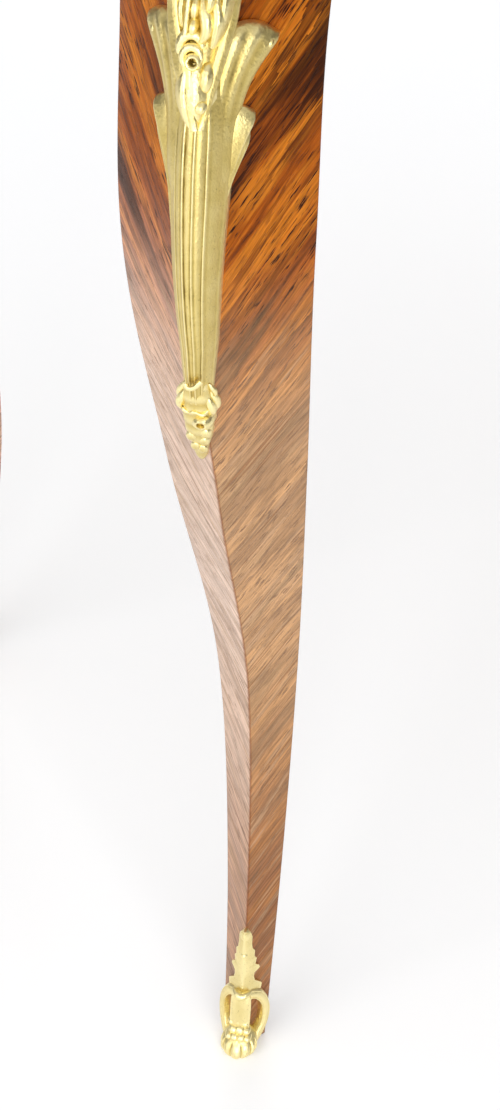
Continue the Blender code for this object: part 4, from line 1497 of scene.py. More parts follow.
        def spot(share: float, along: float) -> Point:
            """Place on the leaf: flutes that deepen towards a rim that rolls over."""
            low = min(int(along * steps), steps - 1)
            part = along * steps - low
            left = between(inner[low], inner[low + 1], part)
            right = between(outer[low], outer[low + 1], part)
            across, level = between(left, right, share)
            level += fan.bulge * math.sin(math.pi * share) * along**3 - self.fan_tilt * across
            out = fan.rise[0] + (fan.rise[1] - fan.rise[0]) * share**0.75
            out += fan.crown * math.sin(math.pi * share)
            flute = math.cos(2 * math.pi * fan.flutes * share) * smooth_step((along - 0.42) / 0.45)
            out -= fan.flute_depth * (1 - 0.5 * share) * flute
            out += fan.curl * share**0.6 * smooth_step((along - 0.55) / 0.38)
            out -= self.fan_root * (1 - smooth_step(along / 0.35))
            for place in (along, share):
                over = max(0.0, (place - self.fan_lip) / (1 - self.fan_lip))
                out *= 0.25 + 0.75 * math.sqrt(max(0.0, 1 - over * over))
            return (across, level, max(self.fan_least, out))

        shares = even_steps(0.0, self.fan_lip, 30)
        for turn in even_steps(0.0, math.pi / 2, 6)[1:]:
            shares.append(self.fan_lip + (1 - self.fan_lip) * math.sin(turn))
        rings = []
        for along in shares:
            ring = [spot(share, along) for share in shares]
            ring.append((ring[-1][0], ring[-1][1], casting.back))
            ring.append((ring[0][0], ring[0][1], casting.back))
            rings.append(ring)
        casting.loft(rings)

    def build_fans(self, casting: Casting) -> None:
        """Adds the leaves on both sides, with a bead near each large tip."""
        for side in (1, -1):
            for fan in (self.large_fan, self.small_fan, self.lower_fan):
                self.build_fan(casting, side, fan)
            shift_across, shift_up = self.tip_bead_shift
            bead = (shift_across + side * self.tip_bead[0], self.tip_bead[1] + side * shift_up)
            casting.boss(bead, base=5.0, radius=1.5, rise=1.4)

    def volute(self) -> list[Point]:
        """Gives the spiral that a band ends in."""
        across, z = self.volute_middle
        path = []
        for share in even_steps(0.0, 1.0, 45):
            turn = 2 * math.pi * self.volute_turns * share - math.pi / 2
            reach = self.volute_radius - self.volute_drawn_in * share**0.8
            path.append((across + reach * math.cos(turn), z + reach * math.sin(turn), 6.0 + 1.6 * share))
        return path

    def build_bands(self, casting: Casting) -> None:
        """Adds the two flat bands that meet in a V below the pod and end in volutes under the frieze."""

        def height(across: float, along: float) -> float:
            """Soft face between two rounded edges."""
            return 8.6 - 1.2 * along - 1.4 * abs(across) ** 3 + 0.3 * across * across

        for side in (1, -1):
            middle = smooth_line(on_side(self.band, side), 70)
            edges = []
            for i, (_, z) in enumerate(middle):
                edges.append(beside_line(middle, i, 0.6 + 2.0 * smooth_step((z - 582) / 28)))
            casting.sheet(edges, 22, height)
            casting.tube(on_side(self.volute(), side), tapering(2.4, 1.4))

    def build_eye(self, casting: Casting) -> None:
        """Adds the volute over the pod: two rolls round a drilled eye."""
        for roll in self.rolls:
            across, z = roll.middle
            path = []
            for half_turns in even_steps(*roll.turns, 28):
                turn = math.pi * half_turns
                level = z + roll.half_height * math.sin(turn)
                path.append((across + roll.half_width * math.cos(turn), level, roll.out))
            casting.tube(path, swelling(0.6 * roll.thickness, 0.4 * roll.thickness))
        casting.turned(self.eye_middle, self.eye)

    def build_pod(self, casting: Casting) -> None:
        """Adds the pod below the volute: a body with a long petal, an oval one and a bead."""
        for petal in self.pod:
            casting.petal(petal)
        casting.boss((3.1, 595.6), base=3.0, radius=2.9, rise=4.4, tall=1.9)
        casting.boss((2.4, 586.8), base=6.8, radius=2.3, rise=2.2)

    def build_foliage(self, casting: Casting) -> None:
        """Adds the leaves above the volute, between the bands, beside a plain fillet."""
        casting.tube(smooth_line(self.plain_fillet, 40), lambda share: 0.9, 8)
        for petal in self.foliage:
            casting.petal(petal)

    def build_crest(self, casting: Casting) -> None:
        """Adds what the frieze end of the mount has: a central stem with husks under a palmette."""
        stem = [(0.0, z, 5.0 + 0.9 * math.sin(z * 0.35)) for z in range(627, 702, 3)]
        casting.tube(stem, tapering(2.6, 2.0))
        for z in self.husks:
            casting.petal(Petal(((0, z + 13), (0, z + 3), (0, z - 8)), 3.2, 6.0, 3.2))
            for side in (1, -1):
                casting.petal(Petal(((1.5, z + 12), (5.0, z + 7), (5.6, z - 3)), 2.3, 3.6, 3.4), side)
                casting.boss((side * 6.2, z + 12.5), base=2.6, radius=1.6, rise=2.6)
        middle = (0.0, self.palmette_z)
        for turn, length in self.palmette:
            lean, rise = math.sin(math.radians(turn)), math.cos(math.radians(turn))
            tip = (lean * length, self.palmette_z + rise * length)
            spine = tuple(between(middle, tip, share) for share in (0.1, 0.5, 1.0))
            casting.petal(Petal(spine, 3.4, 4.4, 3.8))
        casting.boss(middle, base=5.0, radius=4.6, rise=4.6)
        casting.ring((*middle, 7.0), radius=4.9, thickness=1.1)

    def build_collar(self, casting: Casting) -> None:
        """Adds the leaflets that curl round the bud and the wavy rim under them."""
        for leaflet in self.leaflets:
            turn = math.radians(leaflet.turn)
            scale = leaflet.size / self.leaflet_size
            path = []
            for rise, radius in self.leaflet_curl:
                across = leaflet.side * radius * math.sin(turn)
                out = self.bud_flatness * radius * math.cos(turn) + self.bud_out
                path.append((across, leaflet.z + rise * scale, out))
            casting.tube(smooth_line(path, 14), swelling(0.35 * leaflet.size, 0.45 * leaflet.size))
        radius, z = self.collar
        rim = []
        for degrees in even_steps(-105, 105, 30):
            turn = math.radians(degrees)
            reach = radius + 0.35 * math.sin(5 * turn)
            out = self.bud_flatness * reach * math.cos(turn) + self.bud_out
            rim.append((reach * math.sin(turn), z + 0.7 * math.cos(7 * turn), out))
        casting.tube(rim, lambda share: 0.8 + 0.25 * math.cos(40 * share), 9)

    def build_bud(self, casting: Casting) -> None:
        """Adds the clasp, the bud with its collar, its rolled leaf and its seeds."""
        casting.tube(smooth_line(self.clasp, 16), lambda share: 1.15, 9)
        rings = []
        for z, radius in smooth_line(self.bud, 44):
            lump = 0.06 * math.sin((z - 419) * 0.95)
            deep = radius * (1 + lump) * self.bud_flatness
            circuit = circle((0, 0), 1.0, 28)
            rings.append([(radius * (1 + lump * b) * a, z, deep * b + self.bud_out) for a, b in circuit])
        casting.loft(rings)
        self.build_collar(casting)
        casting.turned(self.rolled_leaf_middle, self.rolled_leaf, 0.92)
        for across, z, radius in self.seeds:
            casting.boss((across, z), base=1.6, radius=radius, rise=0.115 * (z - 402) - 1.6, tall=1.25)

    def build(self) -> None:
        """Builds the four mounts."""
        for corner in Corner:
            wrapped = Casting(self.leaned(self.shape.on_ridge(corner)))
            across_ridge = self.leaned(self.shape.over_ridge(corner))
            flat = wrapped.beside(across_ridge, self.flat_back)
            self.build_stem(wrapped.beside(across_ridge, self.stem_back))
            self.build_fans(wrapped)
            self.build_bands(wrapped)
            self.build_eye(flat)
            self.build_pod(flat)
            self.build_foliage(flat)
            self.build_crest(flat)
            self.build_bud(flat)
            name = f"chute_{corner.label}"
            mesh = wrapped.mesh(name, corner.mirrored)
            add_piece(f"{name}_cast", mesh, [self.finishes.gilt], Body.FRAME, Slot.GILT, [name])


@dataclass
class FootMounts:
    """The sabots: a shoe with broad scrolls round two openings, a shield between them, and a serrated leaf.

    Sizes and heights above the floor are in millimetres.
    """

    shape: LegShape
    finishes: Finishes
    flat_back: float = -8  # stand-off of the backs of what lies flat across the ridge
    lump_back: float = 2
    leaf: Line = (  # height and half width
        (30.0, 7.0), (35.0, 10.4), (37.5, 10.8), (39.4, 8.6), (41.5, 6.0), (44.5, 5.2), (46.6, 5.4),
        (48.8, 8.8), (50.6, 8.0), (52.0, 5.8), (55.5, 6.6), (57.5, 5.0), (61.5, 5.0), (63.5, 3.6),
        (67.0, 3.2), (71.0, 3.4), (74.0, 2.6), (76.4, 0.6),
    )
    scroll_outer: Line = (  # distance across and height of the scroll's edge
        (2.4, 37.4), (8.6, 35.2), (13.6, 29.4), (16.2, 21.0), (15.2, 12.6), (11.6, 5.6), (7.0, 1.0),
    )
    scroll_inner: Line = (
        (2.0, 32.0), (6.4, 29.4), (9.6, 25.0), (10.6, 19.0), (9.2, 12.4), (5.8, 8.0), (3.0, 4.0),
    )
    shield: Line = (  # height and half width
        (9.0, 4.6), (17.0, 5.4), (24.0, 5.6), (31.0, 5.6), (35.0, 5.2), (37.4, 4.0),
    )
    clasp: Rows = (
        (-4.6, 37.4, 1.6), (-2.6, 36.8, 4.0), (0.0, 36.4, 5.2), (2.6, 36.8, 4.0), (4.6, 37.4, 1.6),
    )
    toe: Rows = (  # height, half width, crown
        (0.0, 6.6, 9.4),
        (2.0, 8.0, 11.0),
        (5.0, 9.0, 10.8),
        (8.5, 8.4, 8.8),
        (11.0, 6.4, 6.8),
        (13.0, 4.6, 5.2),
    )
    toe_edge: float = 1.6  # stand-off of the toe's edges
    gadroons: int = 9
    lumps: Rows = (  # distance across, height, radius
        (-4.4, 17.4, 2.2), (-0.8, 18.4, 2.5), (2.9, 17.6, 2.4), (-3.0, 14.2, 2.6), (0.6, 14.6, 2.8),
        (4.0, 14.0, 2.4), (-5.0, 10.8, 2.2), (-1.8, 11.2, 2.6), (1.8, 11.2, 2.6), (5.0, 10.6, 2.2),
    )

    def build_leaf(self, casting: Casting) -> None:
        """Adds the leaf that climbs the ridge, with its nail and the knob at its tip."""
        heights, widths = zip(*self.leaf)
        levels = even_steps(heights[0], heights[-1], 90)
        edges = [((-reach, z), (reach, z)) for z, reach in zip(levels, np.interp(levels, heights, widths))]

        def height(across: float, along: float) -> float:
            """Flat leaf with a low midrib and side veins that slope upwards."""
            vein = 0.3 * abs(math.sin(9 * along - 1.6 * abs(across))) * abs(across)
            return 2.0 + 0.9 * (1 - across * across) + 0.15 * soft_line(across, 0.3) + vein

        casting.sheet(edges, 26, height)
        casting.boss((0.0, 60.5), base=2.8, radius=1.5, rise=1.0)
        casting.boss((0.0, 72.5), base=1.8, radius=2.5, rise=1.6, tall=1.35)

    def build_scrolls(self, wrapped: Casting) -> None:
        """Adds the two broad scrolls that run from the clasp round the openings to the toe."""

        def height(across: float, along: float) -> float:
            """Rounded band with a thin raised line along each edge."""
            line = 0.45 * soft_line(abs(across) - 0.78, 0.10)
            return 1.8 + 2.9 * (1 - across * across) ** 0.55 + line + 1.2 * along**3

        for side in (1, -1):
            inner, outer = (
                smooth_line(on_side(edge, side), 48) for edge in (self.scroll_inner, self.scroll_outer)
            )
            wrapped.sheet(list(zip(inner, outer)), 18, height)

    def build_shield(self, flat: Casting) -> None:
        """Adds the plain undercut shield between the openings and the clasp above it."""
        undercut, back = 0.6, -7.0
        rings = []
        for z, wide in smooth_line(self.shield, 28):
            shares = even_steps(-1.0, 1.0, 20)
            ring = [(wide * share, z, 4.8 - 1.6 * abs(share) ** 3) for share in shares]
            rings.append([*ring, (undercut * wide, z, back), (-undercut * wide, z, back)])
        flat.loft(rings)
        flat.tube(smooth_line(self.clasp, 18), swelling(0.9, 1.1))

    def build_toe(self, wrapped: Casting, flat: Casting) -> None:
        """Adds the gadrooned toe and the lumps above it.

        Args:
            wrapped: the mount, in the coordinates that wrap the ridge.
            flat: the mount, in the coordinates that lie across the ridge.
        """
        heights, widths, crowns = zip(*self.toe)
        half_width, crown = SmoothCurve(heights, widths), SmoothCurve(heights, crowns)
        top = heights[-1]
        edges = [((-half_width(z), z), (half_width(z), z)) for z in even_steps(0.0, top, 30)]

        def height(across: float, along: float) -> float:
            """Round toe with soft gadroons."""
            z = top * along
            dome = (1 - across * across) ** 0.7
            gadroon = abs(math.cos(self.gadroons * math.pi / 2 * across)) ** 0.7 - 0.5
            gadroon *= smooth_step((9.0 - z) / 2.0)
            return self.toe_edge + (crown(z) - self.toe_edge) * dome + gadroon

        wrapped.sheet(edges, 90, height)
        for across, z, radius in self.lumps:
            base = 3.2 + 0.55 * (17 - z) - 0.06 * across * across
            flat.boss((across, z), base, radius, rise=2.6, tall=0.9)

    def build(self) -> None:
        """Builds the four mounts."""
        for corner in Corner:
            wrapped = Casting(self.shape.on_ridge(corner))
            flat = wrapped.beside(self.shape.over_ridge(corner), self.flat_back)
            self.build_leaf(wrapped)
            self.build_scrolls(wrapped)
            self.build_shield(flat)
            self.build_toe(wrapped, flat.beside(flat.place, self.lump_back))
            name = f"sabot_{corner.label}"
            mesh = wrapped.mesh(name, corner.mirrored)
            add_piece(f"{name}_cast", mesh, [self.finishes.gilt], Body.FRAME, Slot.GILT, [name])


# Frieze


@dataclass
class Frieze:
    """The four rails, veneered outside, and the shell on the front apron."""

    shape: LegShape
    finishes: Finishes
    height: float = 0.076
    thickness: float = 0.024
    bow: float = 0.010
    front_drop: float = 0.022
    side_drop: float = 0.012
    end_drop: float = 0.004
    drop_share: float = 0.42
    end_share: float = 0.28
    edge_radius: float = 0.0015
    edge_cut: float = 0.3  # of the edge radius, at the middle of its round
    post_clearance: float = 0.0003
    top_ease: float = 0.0002
    outer_faces: int = 3  # of the section's faces, those that are veneered
    shell_rise: float = 0.020
    shell_radius: float = 36.0  # in millimetres, as the shell's relief is
    shell_lobes: int = 9
    shell_levels: int = 15
    shell_middle: Spot = (0.0, -3.0)
    shell_beads: int = 12

    def apron_edge(self, share: float, drop: float) -> float:
        """Gives the height of a rail's lower edge.

        Args:
            share: place along the rail, from -1 to 1.
            drop: how far the edge drops at the rail's middle.

        Returns:
            The height above the floor.
        """
        middle = smooth_step(1 - abs(share) / self.drop_share)
        end = smooth_step((abs(share) - 1 + self.end_share) / self.end_share)
        foot = self.shape.top - self.height
        return foot + self.end_drop * (1 - end) - (drop + self.end_drop) * middle

    def rail(
        self, name: str, half_length: float, face: float, bow: float, drop: float, place: Placing
    ) -> None:
        """Builds one rail.

        Args:
            name: the node that it stands for.
            half_length: from the rail's middle to the leg.
            face: distance of its outer face from the table's middle.
            bow: how far the face bows out at its middle.
            drop: how far the lower edge drops at its middle.
            place: turns along, depth and height into a world place.
        """
        r, top = self.edge_radius, self.shape.top - self.top_ease
        cut = self.edge_cut * r
        build = bmesh.new()
        laid = build.loops.layers.uv.new("laid")
        rows = []
        for share in even_steps(-1.0, 1.0, 150):
            along = share * (half_length - self.post_clearance)
            front = face + bow * (1 + math.cos(math.pi * share)) / 2
            back, foot = face - self.thickness, self.apron_edge(share, drop)
            rounded = [(front, foot + r), (front - cut, foot + cut), (front - r, foot)]
            section = [(front, top), *rounded, (back, foot), (back, top)]
            verts = [build.verts.new(place(along, depth, z)) for depth, z in section]
            rows.append((verts, [(along, z) for _, z in section]))
        for (low, low_laid), (high, high_laid) in zip(rows, rows[1:]):
            for k in range(len(low)):
                m = (k + 1) % len(low)
                made = build.faces.new((low[k], low[m], high[m], high[k]))
                for loop, spot in zip(made.loops, (low_laid[k], low_laid[m], high_laid[m], high_laid[k])):
                    loop[laid].uv = spot
                made.material_index = int(k >= self.outer_faces)
                made.smooth = True
        build.faces.new(rows[0][0])
        build.faces.new(rows[-1][0])
        mesh = sharpened(build, name)
        inside = self.finishes.oak if name in ("front_rail", "back_rail") else self.finishes.cross_oak
        add_piece(f"{name}_veneered", mesh, (self.finishes.leg, inside), Body.FRAME, Slot.VENEER, [name])

    def shell_ring(self, share: float) -> list[Point]:
        """Gives the places on the shell's fluted lobes at a share of its radius."""
        dome = 1.6 + 5.2 * math.sin(math.pi * (1 - share) ** 0.8 * 0.62)
        count = self.shell_lobes * 14
        ring = []
        for i in range(count):
            turn = 2 * math.pi * i / count
            wave = abs(math.cos(turn * self.shell_lobes / 2))
            lobe = 1 - 0.14 * (1 - wave)
            lift = 1 - 0.28 * (1 - math.cos(turn))
            radius = self.shell_radius * share * lift * lobe
            flute = 2.2 * (wave**0.6 - 0.5) * share * (1 - 0.35 * share)
            ring.append((-radius * math.sin(turn), radius * math.cos(turn), dome + flute + 0.6))
        return ring

    def build_shell(self) -> None:
        """Builds the shell of fluted lobes round an oval boss."""
        middle_z = self.shape.top - self.height - self.front_drop + self.shell_rise
        front = self.shape.frieze_y + self.bow

        def place(across: float, along: float, out: float) -> Point:
            """World place on the bowed front rail."""
            half = self.shape.frieze_x - self.shape.post_face
            fall = self.bow * (1 - math.cos(math.pi * across / half)) / 2
            return (across, -(front - fall) - out, middle_z + along)

        casting = Casting(place)
        rim = self.shell_ring(1.0)
        rings = [[(across, along, casting.back) for across, along, _ in rim]]
        rings.extend(self.shell_ring(share) for share in even_steps(1.0, 0.02, self.shell_levels - 2))
        casting.loft(rings)
        across, along = self.shell_middle
        casting.boss(self.shell_middle, base=5.0, radius=6.4, rise=5.0, tall=1.3)
        casting.ring((across, along, 7.0), radius=7.0, thickness=1.2, tall=1.26)
        for a, b in circle((0, 0), 1.0, self.shell_beads):
            casting.boss((across + 9.6 * a, along + 11.8 * b), base=4.6, radius=1.5, rise=2.2)
        mesh = casting.mesh("apron_shell")
        add_piece("apron_shell_cast", mesh, [self.finishes.gilt], Body.FRAME, Slot.GILT, ["apron_shell"])

    def build(self) -> None:
        """Builds the rails and the shell."""
        face_x, face_y = self.shape.frieze_x, self.shape.frieze_y
        post_x, post_y = face_x - self.shape.post_face, face_y - self.shape.post_face
        for name, side, bow, drop in (
            ("front_rail", -1, self.bow, self.front_drop),
            ("back_rail", 1, 0.0, 0.0),
        ):
            self.rail(name, post_x, face_y, bow, drop, lambda a, d, z, s=side: (a, s * d, z))
        for name, side in (("left_rail", -1), ("right_rail", 1)):
            self.rail(name, post_y, face_x, self.bow, self.side_drop, lambda a, d, z, s=side: (s * d, a, z))
        self.build_shell()


# Cloth


def as_given(x: float, y: float, z: float) -> Point:
    """Places a piece that is given in world places."""
    return (x, y, z)


def cloth_mesh(
    name: str, outline: Sequence[Spot], low: float, high: float, roll: float = 0.0006
) -> Mesh:
    """Makes a flat cloth with a rolled upper edge.

    Args:
        name: the mesh's name.
        outline: closed outline of the cloth in plan.
        low: height of the glued face.
        high: height of the other face, which may lie below the glued one.
        roll: width of the rolled edge.

    Returns:
        The closed mesh.
    """
    middle_x, middle_y = (sum(values) / len(outline) for values in zip(*outline))
    rings = []
    for inset, share in ((0.0, 0.0), (0.0, 0.5), (0.3 * roll, 0.85), (roll, 1.0), (4 * roll, 1.0)):
        z = low + (high - low) * share
        ring = []
        for x, y in outline:
            inward = (math.copysign(inset, middle_x - x), math.copysign(inset, middle_y - y))
            ring.append((x + inward[0], y + inward[1], z))
        rings.append(ring)
    casting = Casting(as_given, unit=METRE)
    casting.loft(rings)
    return casting.mesh(name)


def outline_area(outline: Sequence[Spot]) -> float:
    """Gives the area inside a closed outline."""
    pairs = zip(outline, [*outline[1:], outline[0]])
    return abs(sum(a[0] * b[1] - b[0] * a[1] for a, b in pairs)) / 2


def add_cloth(
    node: str, outline: Sequence[Spot], low: float, high: float, body: Body, under: str, finishes: Finishes
) -> None:
    """Adds a glued cloth that stands for a node.

    Args:
        node: the node that it stands for.
        outline: closed outline in plan.
        low: height of the glued face.
        high: height of the other face.
        body: the body that it moves with.
        under: the node or piece that it is glued to; not used.
        finishes: the table's materials.
    """
    name = f"{node}_cloth"
    mesh = cloth_mesh(name, outline, low, high)
    piece = add_piece(name, mesh, [finishes.baize], body, Slot.BAIZE, [node])
    outline_area(outline)


@dataclass
class CardWell:
    """Oak inside of the frame, and the cloth strips on the rails that carry the turning top."""

    finishes: Finishes

    def build(self) -> None:
        """Dresses the oak nodes and lays the strips."""
        for node in ("well_floor", "front_bearer", "back_bearer"):
            dress(node, self.finishes.oak)
        for node in ("well_partition", "pivot_rail"):
            dress(node, self.finishes.cross_oak)
        for side in ("front", "back", "left", "right"):
            node, rail = f"slide_strip_{side}", f"{side}_rail_veneered"
            low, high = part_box(node)
            outline = [(low.x, low.y), (high.x, low.y), (high.x, high.y), (low.x, high.y)]
            add_cloth(node, outline, low.z, high.z, Body.FRAME, rail, self.finishes)


# Top


@dataclass
class Top:
    """The two leaves: veneer, bronze edge and baize."""

    plan: LeafPlan
    finishes: Finishes
    baize_border: float = 0.050
    baize_back_border: float = 0.012
    moulding_projection: float = 0.006
    moulding_root: float = 0.0015
    ogee: Line = (  # share of the projection and share of the height
        (0.45, 0.0), (0.70, 0.12), (0.62, 0.26), (0.94, 0.44), (1.0, 0.60), (0.90, 0.80), (0.55, 1.0),
    )

    def moulding_section(self, height: float) -> list[Spot]:
        """Gives the section of the edge moulding: distance out from the leaf and height."""
        points = [(out * self.moulding_projection, level * height) for out, level in self.ogee]
        return [(-self.moulding_root, 0.0), *smooth_line(points, 22), (-self.moulding_root, height)]

    def build_moulding(self, leaf: str, body: Body) -> None:
        """Carries the moulding round the front and the ends of a leaf.

        Args:
            leaf: the leaf, lower or upper.
            body: the body that it moves with.
        """
        node = f"{leaf}_edge_moulding"
        low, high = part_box(node)
        section = self.moulding_section(high.z - low.z)
        back = self.plan.half_depth - self.plan.joint_gap
        edge = self.plan.outline(0.0, back, self.plan.hinge_straight, 4)[1:-1]
        rings = []
        for i, (x, y) in enumerate(edge):
            run = line_run(edge, i)
            out = Vector((run.y, -run.x)) if 0 < i < len(edge) - 1 else Vector((math.copysign(1, x), 0))
            if out.dot(Vector((x, y))) < 0:
                out = -out
            rings.append([(x + out.x * reach, y + out.y * reach, low.z + z) for reach, z in section])
        casting = Casting(as_given, unit=METRE)
        casting.loft(rings)
        add_piece(f"{node}_cast", casting.mesh(node), [self.finishes.gilt], body, Slot.GILT, [node])

    def build(self) -> None:
        """Dresses the leaves and adds their edges and linings."""
        inset = self.baize_border + self.plan.joint_gap
        back = self.plan.half_depth - self.baize_back_border - self.plan.joint_gap
        outline = self.plan.outline(inset, back, self.plan.hinge_straight - self.baize_back_border)
        for leaf, body, glued_high in (("lower", Body.LOWER_TOP, False), ("upper", Body.UPPER_TOP, True)):
            dress(f"{leaf}_leaf", self.finishes.top)
            self.build_moulding(leaf, body)
            node = f"{leaf}_baize"
            low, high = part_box(node)
            levels = (high.z, low.z) if glued_high else (low.z, high.z)
            add_cloth(node, outline, *levels, body, f"{leaf}_leaf", self.finishes)


@dataclass
class Hardware:
    """Link hinges, swivel and their screws."""

    finishes: Finishes
    head_radius: float = 0.0021
    head_rise: float = 0.0004
    slot_width: float = 0.0005
    rim: Line = ((1.0, -0.0008), (1.0, 0.00005), (0.9, 0.00012))  # share of the radius, stand-off
    disc: Line = ((0.84, 0.0), (0.84, 0.75), (0.70, 1.0))  # share of the radius, share of the rise
    arm_screws: Line = ((0.16, 0.6), (0.56, 2.1))  # share along the arm, direction of the slot
    plate_inset: float = 0.010

    def screw(self, casting: Casting, spot: Spot, turn: float) -> None:
        """Adds a slotted screw head: a sunk rim and two half discs beside the slot.

        Args:
            casting: the piece that collects the heads.
            spot: place of the head on its surface.
            turn: direction of the slot.
        """
        sides = 14
        rings = []
        for size, out in self.rim:
            rings.append([(*place, out) for place in circle(spot, self.head_radius * size, 2 * sides)])
        casting.loft(rings)
        start = math.asin(self.slot_width / self.head_radius / self.disc[0][0])
        for half in (0.0, math.pi):
            arc = [angle + half + turn for angle in even_steps(start, math.pi - start, sides)]
            rings = []
            for size, rise in self.disc:
                reach, out = self.head_radius * size, self.head_rise * rise
                ring = [(spot[0] + reach * math.cos(a), spot[1] + reach * math.sin(a), out) for a in arc]
                rings.append(ring)
            casting.loft(rings)

    def build_hinge_screws(self) -> None:
        """Adds two screws to each hinge arm."""
        for leaf, body in (("lower", Body.LOWER_TOP), ("upper", Body.UPPER_TOP)):
            for end, side in (("left", -1), ("right", 1)):
                low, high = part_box(f"{leaf}_hinge_arm_{end}")
                face = side * max(abs(low.x), abs(high.x))
                casting = Casting(lambda y, z, out, x=face, s=side: (x + s * out, y, z), unit=METRE)
                level = (low.z + high.z) / 2
                for share, turn in self.arm_screws:
                    self.screw(casting, (low.y + (high.y - low.y) * share, level), turn)
                name = f"{leaf}_hinge_screws_{end}"
                add_piece(name, casting.mesh(name), [self.finishes.brass], body, Slot.BRASS)

    def build_plate_screws(self) -> None:
        """Adds a screw near each corner of the pivot plate."""
        low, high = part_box("pivot_plate")
        middle = (low + high) / 2
        casting = Casting(lambda x, y, out: (x, y, low.z - out), unit=METRE)
        corners = ((low.x, low.y), (high.x, low.y), (high.x, high.y), (low.x, high.y))
        for number, (x, y) in enumerate(corners):
            inward_x = math.copysign(self.plate_inset, middle.x - x)
            inward_y = math.copysign(self.plate_inset, middle.y - y)
            self.screw(casting, (x + inward_x, y + inward_y), 0.7 + 1.3 * number)
        name = "pivot_plate_screws"
        add_piece(name, casting.mesh(name), [self.finishes.steel], Body.LOWER_TOP, Slot.STEEL)

    def build(self) -> None:
        """Dresses the metal nodes and adds the screws."""
        for end in ("left", "right"):
            dress(f"hinge_link_{end}", self.finishes.brass)
            for leaf in ("lower", "upper"):
                dress(f"{leaf}_hinge_arm_{end}", self.finishes.brass)
                dress(f"{leaf}_hinge_pin_{end}", self.finishes.brass)
        dress("pivot_plate", self.finishes.brass)
        for node in ("pivot_bolt", "pivot_washer", "pivot_nut"):
            dress(node, self.finishes.steel)
        dress("stop_peg", self.finishes.oak)
        self.build_hinge_screws()
        self.build_plate_screws()


# Floor, light and camera


@dataclass(frozen=True)
class FloorFinish:
    """Pale paper sweep with a faint glow under the table and behind it."""

    name: str = "pale_floor"
    shade: Colour = (0.875, 0.885, 0.90)
    paper: Colour = (0.91, 0.92, 0.935)
    glow: float = 0.14
    glow_start: Span = (-1.15, -0.75)  # places in Y between which the glow sets in

    def material(self) -> Material:
        """Makes the material."""
        g = Graph(self.name)
        place = g.object_place()
        tone = g.noise(place, 2.0, 2.0)
        colour = g.ramp(tone, (0.0, self.shade), (1.0, self.paper))
        roughness = g.range(tone, 0.0, 1.0, 0.6, 0.75)
        _, y, _ = g.split(place)
        g.feed(g.shader.inputs["Emission Strength"], g.range(y, *self.glow_start, 0.0, self.glow))
        return g.finish(colour, roughness, tone, 0.0, Emission_Color=(1.0, 1.0, 1.0, 1.0))


@dataclass(frozen=True)
class SoftLight:
    """A square soft light that faces a target."""

    name: str
    place: Point
    target: Point
    size: float
    power: float

    def build(self) -> None:
        """Adds the light."""
        data = bpy.data.lights.new(self.name, "AREA")
        data.size = self.size
        data.energy = self.power
        light = bpy.data.objects.new(self.name, data)
        light.location = self.place
        light.rotation_mode = "QUATERNION"
        light.rotation_quaternion = (Vector(self.target) - Vector(self.place)).to_track_quat("-Z", "Y")
        bpy.context.scene.collection.objects.link(light)


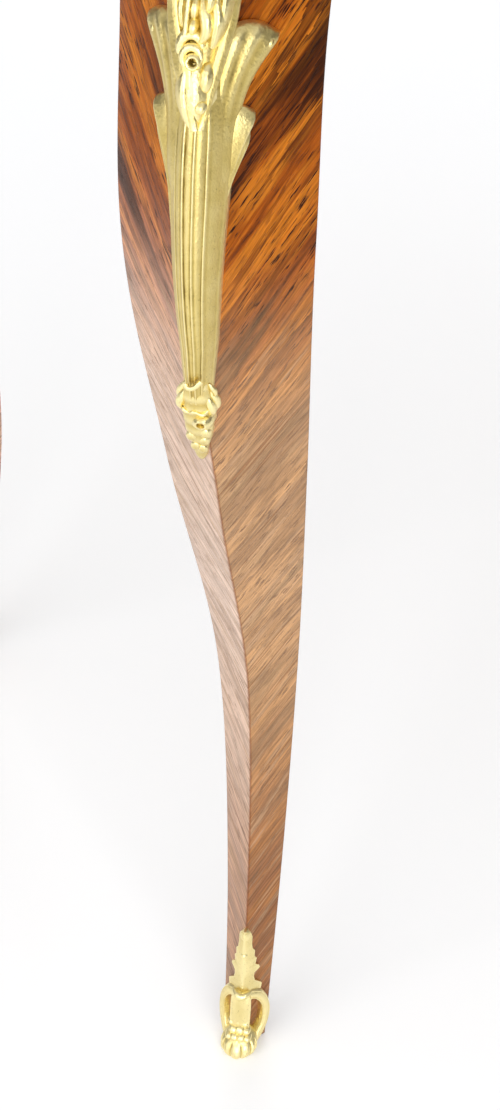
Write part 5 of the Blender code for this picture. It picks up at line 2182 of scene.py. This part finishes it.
@dataclass
class Studio:
    """Plain pale floor, soft light and the camera at the photograph's angle."""

    floor_side: float = 40.0
    floor_drop: float = 0.0004  # under the feet
    horizon: tuple[float, Colour] = (0.10, (0.04, 0.04, 0.042))  # place on the ramp, and colour
    sky: tuple[float, Colour] = (0.65, (1.0, 1.0, 1.0))
    sky_strength: float = 0.75
    lights: tuple[SoftLight, ...] = (
        SoftLight("main_light", (-1.3, -2.7, 1.35), (-0.4, -0.2, 0.4), 2.2, 50.0),
        SoftLight("left_light", (-2.7, -0.6, 1.3), (-0.4, -0.1, 0.4), 2.0, 25.0),
        SoftLight("back_light", (1.3, 2.3, 2.0), (0.0, 0.2, 0.3), 2.0, 26.0),
    )
    camera_place: Point = (-0.8038, -0.8200, 0.9054)
    camera_tilt: float = 52.16
    camera_turn: float = -31.64
    lens: float = 67.1
    sensor: float = 36.0
    clip: Span = (0.01, 60.0)

    def build_floor(self) -> None:
        """Lays the floor just under the feet."""
        half = self.floor_side / 2
        corners = [(-half, -half, 0), (half, -half, 0), (half, half, 0), (-half, half, 0)]
        mesh = bpy.data.meshes.new("floor")
        mesh.from_pydata(corners, [], [(0, 1, 2, 3)])
        mesh.materials.append(FloorFinish().material())
        floor = bpy.data.objects.new("floor", mesh)
        floor.location.z = -self.floor_drop
        bpy.context.scene.collection.objects.link(floor)

    def build_world(self) -> None:
        """Surrounds the table with soft light that fades towards the horizon."""
        world = bpy.data.worlds.new("studio")
        world.use_nodes = True
        nodes, links = world.node_tree.nodes, world.node_tree.links
        place = nodes.new("ShaderNodeTexCoord")
        split = nodes.new("ShaderNodeSeparateXYZ")
        ramp = nodes.new("ShaderNodeValToRGB")
        for element, (level, colour) in zip(ramp.color_ramp.elements, (self.horizon, self.sky)):
            element.position = level
            element.color = (*colour, 1.0)
        links.new(place.outputs["Generated"], split.inputs[0])
        links.new(split.outputs[2], ramp.inputs[0])
        links.new(ramp.outputs[0], nodes["Background"].inputs["Color"])
        nodes["Background"].inputs["Strength"].default_value = self.sky_strength
        bpy.context.scene.world = world

    def build_camera(self) -> None:
        """Sets the camera as the photograph's was."""
        data = bpy.data.cameras.new("camera")
        data.sensor_width = self.sensor
        data.lens = self.lens
        data.clip_start, data.clip_end = self.clip
        camera = bpy.data.objects.new("camera", data)
        camera.location = self.camera_place
        camera.rotation_euler = (math.radians(self.camera_tilt), 0.0, math.radians(self.camera_turn))
        bpy.context.scene.collection.objects.link(camera)
        bpy.context.scene.camera = camera

    def build(self) -> None:
        """Builds the studio."""
        self.build_floor()
        self.build_world()
        for light in self.lights:
            light.build()
        self.build_camera()
        bpy.context.scene.view_settings.view_transform = "Standard"


def main() -> None:
    """Builds the table's pieces in order and reports each one."""
    logging.basicConfig(level=logging.INFO, format="%(name)s: %(message)s")
    plan = LeafPlan()
    shape = LegShape()
    finishes = Finishes(plan)
    for part in (
        Legs(shape, finishes),
        KneeMounts(shape, finishes),
        FootMounts(shape, finishes),
        Frieze(shape, finishes),
        CardWell(finishes),
        Top(plan, finishes),
        Hardware(finishes),
        Studio(),
    ):
        part.build()


if __name__ == "__main__":
    main()
